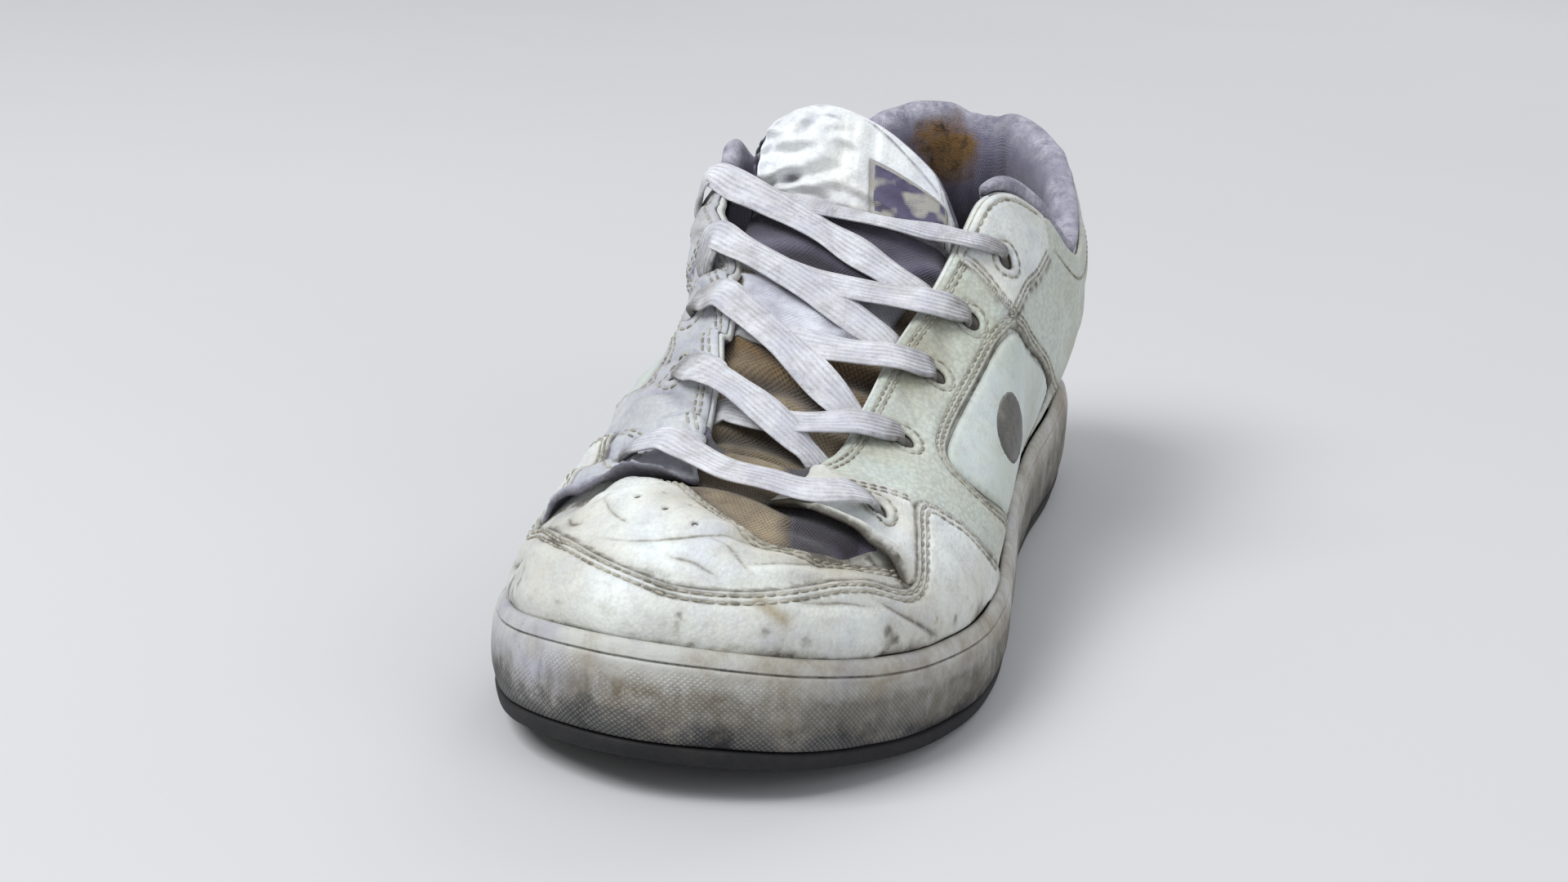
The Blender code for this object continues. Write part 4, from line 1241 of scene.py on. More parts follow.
@dataclass
class Panel:
    """One leather panel: a thin plate on the upper with rounded edges, seams and holes.

    Attributes:
        name: Name of the piece.
        border: Section places round it, on the outer side.
        top: Height of its face over the bare skin in mm.
        under: Height of its back in mm.
        seams: Rows of stitching on it.
        holes: Holes through it.
        window: Border of a large opening in it.
        lifts: Folds of this panel alone, such as a raised free edge.
        edge: Radius of its rounded edge in mm.
        step: Distance between its inner points in mm.
        corners: How often the border's corners are cut.
        groove: Depth that the stitches pull the leather down in mm.
        flat_scale: Millimetres to one unit of u and of v, for a fair flat map.
        rings: Distances from its borders of the points that round them, in mm.
        beside_thread: Distances from a stitched row of the points that dent it, in mm.
        beside_crease: Distances from a crease of the points that shape it, in mm.
    """

    name: str
    border: UV
    top: float = 1.6
    under: float = -0.2
    seams: tuple = ()
    holes: tuple = ()
    window: UV = ()
    lifts: tuple = ()
    edge: float = 0.8
    step: float = 1.35
    corners: int = 3
    groove: float = 0.34
    flat_scale: tuple = (230.0, 66.0)
    rings: tuple = (0.25, 0.6, 1.1)
    beside_thread: tuple = (0.34, -0.34, 0.72, -0.72)
    beside_crease: tuple = (0.45, -0.45, 1.0, -1.0)

    def rounded(self, side: Side, path: UV) -> Array:
        """Closed border with soft corners, its points 0.8 mm apart."""
        line = resample(side.path(path), 4.0, True)
        return resample(cut_corners(line, self.corners, True), 0.8, True)

    def meshed(self, loops: list, extra: list) -> tuple[Array, list]:
        """Triangulate the panel between its borders.

        Args:
            loops: Closed borders, the outer one first.
            extra: Section places that must become points.

        Returns:
            Section places and triangles.
        """
        outer = loops[0]
        fixed = np.concatenate(loops + extra)
        us = np.arange(outer[:, 0].min(), outer[:, 0].max(), 0.0008)
        seeds = []
        middle = LAST.skin(np.full(50, us.mean()), np.linspace(0, 1, 50))
        height = np.linalg.norm(np.diff(middle, axis=0), axis=1).sum()
        rows = np.arange(outer[:, 1].min(), outer[:, 1].max(), self.step * 0.87 / height)
        for k, v in enumerate(rows):
            line = LAST.skin(us, np.full(len(us), v))
            length = run_along(line)
            at = np.arange(self.step * (0.25 + 0.5 * (k % 2)), length[-1], self.step)
            seeds.append(np.stack([np.interp(at, length, us), np.full(len(at), v)], axis=1))
        seeds = np.concatenate(seeds)
        seeds = seeds[self.held(seeds, loops)]
        far = spacing(LAST.skin(*seeds.T), LAST.skin(*fixed.T)) > 0.6 * self.step
        places = np.concatenate([fixed, seeds[far]])
        edges = []
        start = 0
        for loop in loops:
            count = len(loop)
            edges += [(start + i, start + (i + 1) % count) for i in range(count)]
            start += count
        flat = [Vector(p) for p in places * self.flat_scale]
        verts, _, faces, sources, _, _ = geometry.delaunay_2d_cdt(flat, edges, [], 0, 1e-5)
        placed = np.array([places[s[0]] if s else np.array(v) / self.flat_scale for v, s in zip(verts, sources)])
        faces = np.array([f for f in faces if len(f) == 3])
        faces = faces[self.held(placed[faces].mean(axis=1), loops)]
        used = np.unique(faces)
        renumber = np.full(len(placed), -1)
        renumber[used] = np.arange(len(used))
        return placed[used], renumber[faces].tolist()

    def outlines(self, side: Side) -> tuple[list, list, list, list]:
        """Every line that the panel's mesh follows on one side of the shoe.

        Args:
            side: Side of the shoe.

        Returns:
            Its closed borders with the outer one first, rows of stitching, fine creases, and all lines that give
            the mesh its points.
        """
        border = self.rounded(side, self.border)
        loops, extra = [border], []
        if self.window:
            loops.append(self.rounded(side, self.window))
        rows = [row for seam in self.seams for row in seam.rows(side)]
        for loop, sign in zip(list(loops), (1.0, -1.0)):
            turning = self.turning(loop) * sign
            extra += [beside(loop, offset * turning, True) for offset in self.rings]
        first = []
        for spot in self.holes:
            hole = replace(spot, u=float(side.path([(spot.u, spot.v)])[0, 0]))
            loops.append(hole.circle(hole.radius, 20))
            first += [hole.circle(hole.radius + 0.35, 22), hole.circle(hole.radius + 0.9, 24)]
            if hole.ring:
                ring = hole.circle(hole.ring, 34)
                rows.append(np.concatenate([ring, ring[:1]]))
        extra = first + extra
        rows = [row[self.held(row, loops)] for row in rows]
        rows = [row for row in rows if len(row) > 3]
        for row in rows:
            extra += [row] + [beside(row, offset) for offset in self.beside_thread]
        creases = [resample(np.array(f.path), 2.0) for f in WEAR.folds if f.width < 2.0]
        creases = [resample(cut_corners(c, 2, False), 0.8) for c in creases]
        creases = [c[inside(c, border)] for c in creases]
        creases = [c for c in creases if len(c) > 4]
        for crease in creases:
            extra += [crease] + [beside(crease, offset) for offset in self.beside_crease]
        return loops, rows, creases, extra

    def height(self, side: Side, spots: Array) -> tuple[Array, Array]:
        """Worn relief at spots of the bare skin, and what the panel's own folds add to it, in mm."""
        own = sum((fold_on(side, f).heights(spots) for f in self.lifts), np.zeros(len(spots)))
        return WEAR.relief(spots), own

    def build(self, side: Side, finish: Material, nodes: Sequence[str], slot: str,
              dirt_and_shade: "DirtAndShadeLines") -> Object:
        """Make the panel and its stitching.

        Args:
            side: Side of the shoe.
            finish: Material of the leather.
            nodes: Solids it stands for.
            slot: Material slot of the record.
            dirt_and_shade: Lines along which dirt settles and shade is painted.

        Returns:
            The panel's object.
        """
        loops, rows, creases, extra = self.outlines(side)
        extra = [self.clear(e, loops) for e in extra]
        places, faces = self.meshed(loops, [e for e in extra if len(e)])
        bare = LAST.skin(*places.T)
        gap = np.full(len(bare), np.inf)
        for loop in loops:
            ring = np.concatenate([loop, loop[:1]])
            gap = np.minimum(gap, nearest(bare, LAST.skin(*ring.T))[0])
        relief, own = self.height(side, bare)
        curl = 1 - np.clip(gap / self.edge, 0, 1)
        bend = (self.top - self.under) * 0.45 * (1 - np.sqrt(np.clip(1 - curl**2, 0, 1)))
        trench, soiled = np.zeros(len(bare)), np.zeros(len(bare))
        for row in rows:
            gap = nearest(bare, LAST.skin(*row.T))[0]
            trench = np.maximum(trench, np.clip(1 - (gap / 0.6) ** 2, 0, 1))
        face = relief + own + self.top - bend - self.groove * trench
        # dirt and painted shade along the fine creases
        for crease in creases:
            gap, place = nearest(bare, LAST.skin(*crease.T))
            soiled = np.maximum(soiled, 0.75 * np.exp(-(gap / 0.5) ** 2) * np.sin(math.pi * place) ** 0.5)
        # the inner side's seams hold less dirt and painted shade; the worn relief's hollows get painted shade
        seam_grime_and_shade = 0.25 if side is Side.INNER and self.name.startswith(("wing", "quarter", "eyestay")) else 0.55
        grime_and_shade = np.clip(dirt_and_shade.near(bare) + seam_grime_and_shade * trench + soiled + np.clip(-relief / 4.0, 0, 0.5), 0, 1.3)
        upper, lower = LAST.lay(*places.T, face), LAST.lay(*places.T, relief + own + self.under)
        count = len(places)
        faces, sides = self.oriented(faces, upper, places)
        closed = faces + [tuple(i + count for i in reversed(f)) for f in faces]
        closed += [(b, a, a + count, b + count) for a, b in sides]
        # the panel's back gets full painted shade, fading up its edge strip
        masks = {Mask.GRIME_AND_SHADE: np.concatenate([grime_and_shade, np.full(count, 1.2)]), Mask.TINT: np.tile(dirt_and_shade.stains(bare), 2)}
        cloth = np.tile(places * self.flat_scale, (2, 1))
        item = Piece(self.name, np.concatenate([upper, lower]), closed, [finish], masks, cloth).make(nodes, slot)
        if rows:
            sewing = Stitching()
            for row in rows:
                sewing.sew(row, sum(self.height(side, LAST.skin(*row.T))) + self.top - self.groove)
            sewing.make(self.name + "_thread", slot)
        return item

    def held(self, line: Array, loops: list) -> Array:
        """Tell which places of a line lie on the panel's leather.

        Args:
            line: Section places.
            loops: The panel's borders, the outer one first.

        Returns:
            True for each place on it.
        """
        held = inside(line, loops[0])
        for loop in loops[1:]:
            held &= ~inside(line, loop)
        return held

    def turning(self, loop: Array) -> float:
        """Which way inwards is: 1 where it lies left of the border as seen from outside.

        Args:
            loop: Closed border.

        Returns:
            1 or -1.
        """
        x, y = loop[:, 0], loop[:, 1]
        area = (x * np.roll(y, -1) - np.roll(x, -1) * y).sum()
        return -1.0 if area < 0 else 1.0

    def clear(self, line: Array, loops: list) -> Array:
        """Places of a line that are inside the panel and not on its borders.

        Args:
            line: Section places.
            loops: The panel's borders, the outer one first.

        Returns:
            The places that are left.
        """
        line = line[self.held(line, loops)]
        if not len(line):
            return line
        fixed = np.concatenate(loops)
        return line[spacing(LAST.skin(*line.T), LAST.skin(*fixed.T)) > 0.18]

    @staticmethod
    def oriented(faces: list, points: Array, places: Array) -> tuple[list, list]:
        """Turn the faces outwards and find the open edges.

        Args:
            faces: Triangles.
            points: Their points in mm.
            places: Their section places.

        Returns:
            The turned faces, and the edges that only one of them has.
        """
        faces = np.array(faces)
        a, b, c = (points[faces[:, i]] for i in range(3))
        facing = np.cross(b - a, c - a)
        centre = places[faces].mean(axis=1)
        out = LAST.slopes(*centre.T)[2]
        wrong = (facing * out).sum(1) < 0
        faces[wrong] = faces[wrong][:, ::-1]
        once = {}
        for f in faces.tolist():
            for i in range(3):
                edge = (f[i], f[(i + 1) % 3])
                if (edge[1], edge[0]) in once:
                    del once[(edge[1], edge[0])]
                else:
                    once[edge] = True
        return [tuple(f) for f in faces.tolist()], list(once)


def fold_on(side: Side, fold: Fold) -> Fold:
    """The fold on one side of the shoe."""
    return replace(fold, path=[tuple(p) for p in side.path(fold.path)])


class DirtAndShadeLines:
    """Dirt and painted shade on the upper: along panel edges and low over the sole; dirt also in rubbed places."""

    def __init__(self) -> None:
        """Start with no lines."""
        self.spots: list = []

    def add(self, places: Array) -> None:
        """Add a line of section places."""
        self.spots.append(LAST.skin(*places.T))

    def near(self, points: Array) -> Array:
        """Share of dirt and painted shade at points of the bare skin.

        Args:
            points: Points in mm.

        Returns:
            Values from 0 to about 1.
        """
        gap = spacing(points, np.concatenate(self.spots))
        share = (LAST.length / 2 - points[:, 1]) / LAST.length
        rise = points[:, 2] - LAST.rim(np.clip(share, 0, 1))
        cloud = np.clip(0.9 + 0.9 * rough_noise(points, 12.0, 8), 0.2, 1.6)
        low = cloud * (0.62 * np.exp(-np.clip(rise, 0, None) / 3.2) + 0.16 * np.exp(-np.clip(rise, 0, None) / 13.0))
        patchy = 0.25 * np.clip(rough_noise(points, 14.0, 9) - 0.1, 0, 1)
        spots = 1.1 * np.clip(rough_noise(points, 2.3, 10) - 0.42, 0, 1) * np.clip(1.7 - rise / 9.0, 0.25, 1.7)
        # dirt and painted shade along panel edges and low over the sole; dirt in patches and specks
        return 0.8 * np.exp(-(gap / 0.6) ** 2) + 0.24 * np.exp(-(gap / 2.6) ** 2) + low + patchy + spots

    def stains(self, points: Array) -> Array:
        """Share of yellow-brown stain at points of the bare skin.

        Args:
            points: Points in mm.

        Returns:
            Values from 0 to 1.
        """
        total = 0.3 * np.clip(rough_noise(points, 22.0, 12) + 0.1, 0, 1)
        # brown stroke below the mudguard's wave, rubbed patch on the outer toe, yellowed wing
        for path, width, weight in (
            (((0.95, 0.205), (0.944, 0.175), (0.937, 0.145)), 1.5, 0.85),
            (((0.9, 0.45), (0.93, 0.46), (0.96, 0.5)), 6.0, 0.55),
            (((0.83, 0.55), (0.86, 0.75), (0.9, 0.9)), 5.0, 0.35),
            (((1.02, 0.6), (0.99, 0.56)), 5.0, 0.3),
            (((0.62, 0.9), (0.7, 0.88), (0.78, 0.86)), 5.0, 0.3),
        ):
            places = np.array(path)
            gap = nearest(points, LAST.skin(*places.T))[0]
            total += weight * np.exp(-(gap / width) ** 2)
        return np.clip(total, 0, 1)


def table_border(rows: Sequence, low_shift: float = 0.0) -> list:
    """Closed border of a panel that is given as rows of u, low and high.

    Args:
        rows: Rows of u, low v and high v, with u rising.
        low_shift: Amount added to the low line.

    Returns:
        Section places: along the low line and back along the high one.
    """
    low = [(u, a + low_shift) for u, a, _ in rows]
    high = [(u, b) for u, _, b in rows]
    return low + high[::-1]


@dataclass
class UpperPanels:
    """All leather panels of the upper, their seams and eyelets."""

    eyelets: tuple = EYELETS
    eyelet_radius: float = 2.8
    ring_radius: float = 4.9
    wave: tuple = (
        (0.674, 0.045), (0.7, 0.168), (0.735, 0.297), (0.777, 0.462), (0.812, 0.605), (0.822, 0.57),
        (0.834, 0.47), (0.843, 0.34), (0.852, 0.29), (0.866, 0.305), (0.888, 0.35), (0.915, 0.345),
        (0.935, 0.295), (0.953, 0.255), (0.973, 0.235), (0.988, 0.235), (1.005, 0.262), (1.028, 0.295),
        (1.052, 0.335), (1.085, 0.35), (1.112, 0.35), (1.134, 0.305), (1.148, 0.29), (1.157, 0.34),
        (1.166, 0.47), (1.178, 0.57), (1.188, 0.605), (1.223, 0.462), (1.265, 0.297), (1.3, 0.168),
        (1.326, 0.045),
    )
    quarter_rows: tuple = (
        (0.27, -0.02, 0.08), (0.3, -0.02, 0.18), (0.36, -0.02, 0.32), (0.43, -0.02, 0.44),
        (0.492, -0.02, 0.53), (0.552, -0.02, 0.65), (0.576, -0.02, 0.77), (0.583, -0.02, 0.87),
        (0.59, -0.02, 0.99), (0.66, -0.02, 0.99), (0.678, 0.01, 0.99), (0.704, 0.13, 0.99),
        (0.739, 0.26, 0.99), (0.781, 0.43, 0.99), (0.82, 0.59, 0.99), (0.85, 0.74, 0.99),
        (0.88, 0.845, 0.99), (0.889, 0.88, 0.99),
    )
    window_rows: tuple = (
        (0.392, 0.075, 0.36), (0.43, 0.072, 0.42), (0.5, 0.082, 0.512), (0.545, 0.092, 0.59),
        (0.562, 0.098, 0.628), (0.598, 0.115, 0.655), (0.64, 0.2, 0.655), (0.685, 0.325, 0.648),
        (0.715, 0.44, 0.64), (0.735, 0.535, 0.628), (0.744, 0.59, 0.612),
    )
    eyestay_rows: tuple = (
        (0.462, 0.8, 0.992), (0.472, 0.75, 0.992), (0.49, 0.688, 0.992), (0.517, 0.643, 0.992),
        (0.545, 0.622, 0.992), (0.556, 0.64, 0.992), (0.576, 0.72, 0.992), (0.586, 0.79, 0.992),
        (0.594, 0.88, 0.992), (0.6, 0.955, 0.992),
    )
    eyestay_low: tuple = ((0.463, 0.8), (0.482, 0.7), (0.517, 0.643), (0.545, 0.622))
    eyestay_front: tuple = ((0.556, 0.64), (0.576, 0.72), (0.586, 0.79), (0.6, 0.955))
    wing_rows: tuple = (
        (0.816, 0.56, 0.625), (0.826, 0.44, 0.68), (0.838, 0.33, 0.745), (0.851, 0.29, 0.792),
        (0.864, 0.375, 0.83), (0.875, 0.44, 0.866), (0.8865, 0.495, 0.992), (0.9, 0.56, 0.985),
        (0.914, 0.61, 0.93), (0.93, 0.66, 0.88), (0.948, 0.715, 0.845), (0.966, 0.762, 0.81),
    )
    free_edge: tuple = (
        (0.966, 0.785), (0.948, 0.715), (0.93, 0.66), (0.914, 0.61), (0.9, 0.56), (0.8865, 0.495), (0.875, 0.44),
        (0.864, 0.375), (0.853, 0.3),
    )
    heel_rows: tuple = (
        (0.000, -0.02, 0.992), (0.266, -0.02, 0.992), (0.3, 0.155, 0.992), (0.36, 0.293, 0.992),
        (0.43, 0.413, 0.992), (0.458, 0.455, 0.992), (0.486, 0.497, 0.8), (0.513, 0.545, 0.72),
        (0.545, 0.605, 0.66),
    )
    vamp_seam: tuple = (
        (1.15, 0.64), (1.11, 0.7), (1.065, 0.735), (1.03, 0.72), (1.005, 0.65), (0.985, 0.575),
        (0.963, 0.5), (0.935, 0.48), (0.897, 0.45), (0.86, 0.4),
    )

    def open_edges(self) -> list:
        """Panel edges that show, each with the sides it is on.

        Returns:
            Pairs of a line and its sides.
        """
        both, once = tuple(Side), (Side.OUTER,)
        window = self.window_line()
        return [
            (self.wave, once), (self.vamp_seam, once), (window + window[:2], both), (self.free_edge, both),
            (self.eyestay_low, both), (self.eyestay_front, both),
            (((0.4, 0.378), (0.43, 0.413), (0.486, 0.497), (0.545, 0.605)), both),
            (((0.272, 0.03), (0.3, 0.155), (0.36, 0.293), (0.43, 0.413)), both),
        ]

    def front(self) -> Panel:
        """Mudguard round the toe with its waved top edge and two stitched rows.

        Returns:
            The panel.
        """
        low = [(u, -0.03) for u in np.linspace(self.wave[0][0], self.wave[-1][0], 24)]
        top = list(self.wave)
        crossing = Seam(top[1:-1], (1.5, 3.0))
        return Panel("mudguard_leather", low + top[::-1], 2.0, -0.2, (crossing,))

    def wing(self) -> Panel:
        """Front corner of the eyestay, its free edge standing off the vamp.

        Returns:
            The panel.
        """
        diagonal = ((0.818, 0.64), (0.845, 0.768), (0.875, 0.866))
        return Panel(
            "wing_leather", table_border(self.wing_rows), 1.5, -0.2,
            (Seam(diagonal, (1.3, 2.6)), Seam(self.free_edge, (-1.6,))),
            (Hole(*self.eyelets[4], self.eyelet_radius, self.ring_radius),),
            lifts=(Fold(self.free_edge, 3.6, 5.0, 0.0),))

    def quarter(self) -> Panel:
        """Milled side panel with its window and the lower eyelets.

        Returns:
            The panel.
        """
        throat = ((0.6, 0.985), (0.66, 0.985), (0.72, 0.985), (0.8, 0.985), (0.885, 0.985))
        opening = [*self.window_line()]
        return Panel(
            "quarter_leather", table_border(self.quarter_rows), 1.1, -0.2,
            (Seam(throat, (1.7, 3.2)), Seam(opening + opening[:2], (1.6, 3.0))),
            tuple(Hole(u, v, self.eyelet_radius, self.ring_radius) for u, v in self.eyelets[1:4]),
            window=opening)

    def window_line(self) -> list:
        """Border of the side window."""
        return table_border(self.window_rows)

    def window_piece(self) -> Panel:
        """Smooth inlay set into the side window.

        Returns:
            The panel.
        """
        rows = [(u, a + 0.012, b - 0.012) for u, a, b in self.window_rows]
        rows[0] = (rows[0][0] + 0.006, rows[0][1], rows[0][2])
        rows[-1] = (rows[-1][0] - 0.005, rows[-1][1], rows[-1][2])
        return Panel("side_window", table_border(rows), 0.8, -0.2, edge=1.2,
                     lifts=(Fold(((0.45, 0.22), (0.56, 0.32), (0.66, 0.45)), 0.5, 14.0, 0.0),))

    def mark(self) -> Panel:
        """Plain dark oval printed on the side window, rubbed at its edge.

        Returns:
            The panel.
        """
        turn = np.linspace(0, 2 * math.pi, 24, endpoint=False)
        border = [(0.598 + 0.04 * math.cos(a) + 0.022 * math.sin(a), 0.405 + 0.125 * math.sin(a)) for a in turn]
        return Panel("window_mark", border, 0.98, 0.4, edge=0.3, corners=1, step=1.0, lifts=self.window_piece().lifts)

    def eyestay_top(self) -> Panel:
        """Top corner of the eyestay with the first eyelet.

        Returns:
            The panel.
        """
        throat = tuple((u, 0.988) for u in np.linspace(0.47, 0.6, 8))
        return Panel(
            "eyestay_top_leather", table_border(self.eyestay_rows), 1.6, -0.2,
            (Seam(self.eyestay_low, (-1.5, -2.9)), Seam(self.eyestay_front, (-1.5, -2.9)), Seam(throat, (1.7,))),
            (Hole(*self.eyelets[0], self.eyelet_radius, self.ring_radius),))

    def heel(self) -> Panel:
        """Panel round the heel and ankle, in one piece from side to side.

        Returns:
            The panel.
        """
        outer = list(self.heel_rows)
        inner = [(-u, a, b) for u, a, b in reversed(outer[1:])]
        rows = inner + outer
        front = ((0.272, 0.0), (0.3, 0.155), (0.36, 0.293), (0.43, 0.413), (0.486, 0.497), (0.545, 0.605))
        mirrored = tuple((-u, v) for u, v in front)
        collar = tuple((u, 0.985) for u in np.linspace(-0.44, 0.44, 23))
        return Panel(
            "heel_leather", table_border(rows), 1.3, -0.2,
            (Seam(front, (-1.6, -3.0)), Seam(mirrored, (1.6, 3.0)), Seam(collar, (6.0,))), step=1.6)

    def vamp(self) -> Panel:
        """Toe box from the mudguard to the stitched seam before the tongue, with its air holes.

        Returns:
            The panel.
        """
        top = list(self.vamp_seam)
        wave = [p for p in self.wave if 0.83 < p[0] < 1.17]
        low = [(u, v - 0.08) for u, v in wave]
        places = ((1.038, 0.545), (1.014, 0.518), (0.993, 0.468), (1.06, 0.56), (1.004, 0.57), (1.026, 0.6))
        holes = tuple(Hole(u, v, 0.62 if i < 3 else 0.45) for i, (u, v) in enumerate(places))
        return Panel("vamp_leather", low + top, 0.9, -0.2,
                     (Seam(top[::-1], (1.1, 2.3)),), holes, step=1.2)


@dataclass
class UpperBase:
    """Hollow body of the upper under the panels: leather outside, textile inside."""

    columns: int = 420
    rows: int = 44
    # half widths over u of the textile before the tongue and of the mesh in its middle
    throat_reach: float = 0.13
    mesh_reach: float = 0.062
    # radius of the painted shade seen through an eyelet on the layer under it, and depth of the dent it leaves, in mm
    eyelet_hole_shade: float = 3.9
    eyelet_dent: float = 2.2

    def build(self, leather: Material, mesh_cloth: Material,
              lining: Material, dirt_and_shade: DirtAndShadeLines, eyelets: Sequence) -> Object:
        """Make the body.

        Args:
            leather: Finish of the outside.
            mesh_cloth: Finish of the textile before the tongue.
            lining: Finish of the inside.
            dirt_and_shade: Lines along which dirt settles and shade is painted.
            eyelets: Section places of the eyelets.

        Returns:
            The object.
        """
        turn = np.arange(self.columns) * 2.0 / self.columns
        u_line = turn + 0.1 * np.sin(math.pi * turn)
        levels = np.concatenate([[-0.04], np.linspace(0, 1, self.rows)])
        u = np.tile(u_line, len(levels))
        v = np.repeat(levels, self.columns)
        bare = LAST.skin(u, v)
        relief = WEAR.relief(bare)
        fade = np.clip((1 - v) / 0.04, 0, 1)
        outside = LAST.lay(u, v, relief - 0.35 * (1 - fade))
        inside_skin = LAST.lay(u, v, relief - LAST.wall + 0.35 * (1 - fade)).reshape(len(levels), -1, 3)[::-1]
        floor = LAST.spring(LAST.share(u_line)) + LAST.floor_height + LAST.gap
        x, y, _, _ = LAST.outline(u_line, LAST.rim_inset + LAST.wall)
        bottom_in = np.stack([x, y, floor], axis=1)
        x, y, _, _ = LAST.outline(u_line, LAST.rim_inset)
        bottom_out = np.stack([x, y, floor], axis=1)
        points = np.concatenate([bottom_out, outside, inside_skin.reshape(-1, 3), bottom_in])
        rows = 2 * len(levels) + 2
        faces = grid_quads(rows, self.columns, True)
        last, after = (rows - 1) * self.columns, [*range(1, self.columns), 0]
        faces += [(last + c, last + after[c], after[c], c) for c in range(self.columns)]
        # dirt and painted shade along edges and low down; painted shade in the hollows of the worn relief
        grime_and_shade = np.clip(dirt_and_shade.near(bare) + np.clip(-relief / 4.0, 0, 0.5), 0, 1.2)
        # painted shade in each eyelet's hole, and its dent
        for place in eyelets:
            for pu in (place[0], 2 - place[0]):
                spot = LAST.skin(np.array([pu]), np.array([place[1]]))[0]
                gap = np.linalg.norm(bare - spot, axis=1)
                grime_and_shade = np.maximum(grime_and_shade, 1.3 * (gap < self.eyelet_hole_shade))
                points[self.columns:self.columns + len(bare)] -= (
                    LAST.slopes(u, v)[2] * (self.eyelet_dent * np.exp(-(gap / 2.4) ** 4))[:, None])
        # deep painted shade under the wings, thinning to bare purple lining in their front corner
        aside = np.abs(u - 1)
        hidden = np.clip((aside - 0.045) / 0.02, 0, 1) * np.clip((0.125 - aside) / 0.02, 0.35, 1) * (v > 0.42)
        grime_and_shade = np.maximum(grime_and_shade, hidden * (1.05 + 0.45 * rough_noise(bare, 6.0, 61)) * (aside < 0.14))
        # the inside gets an even painted shade
        whole = np.concatenate([np.ones(self.columns), grime_and_shade, np.full(len(bare), 0.35), np.ones(self.columns)])
        face_row = np.arange(len(faces)) // self.columns
        column_u = u_line[np.arange(len(faces)) % self.columns]
        inner = face_row >= len(levels) + 1
        throat = (np.abs(column_u - 1) < self.throat_reach) & (face_row > 0.5 * self.rows) & ~inner
        finish = np.where(inner | (throat & (np.abs(column_u - 1) > self.mesh_reach)), 2, np.where(throat, 1, 0))
        length = run_along(LAST.skin(u_line, np.full(self.columns, 0.3)))
        cloth = np.stack([np.tile(length, rows), np.repeat(np.arange(rows) * 1.5, self.columns)], axis=1)
        stains = np.concatenate([np.zeros(self.columns), 0.4 * dirt_and_shade.stains(bare), np.zeros(len(bare) + self.columns)])
        body = Piece("upper_body", points, faces, [leather, mesh_cloth, lining],
                     {Mask.GRIME_AND_SHADE: whole, Mask.TINT: stains}, cloth, finish)
        return body.make(("upper",), "worn_leather")


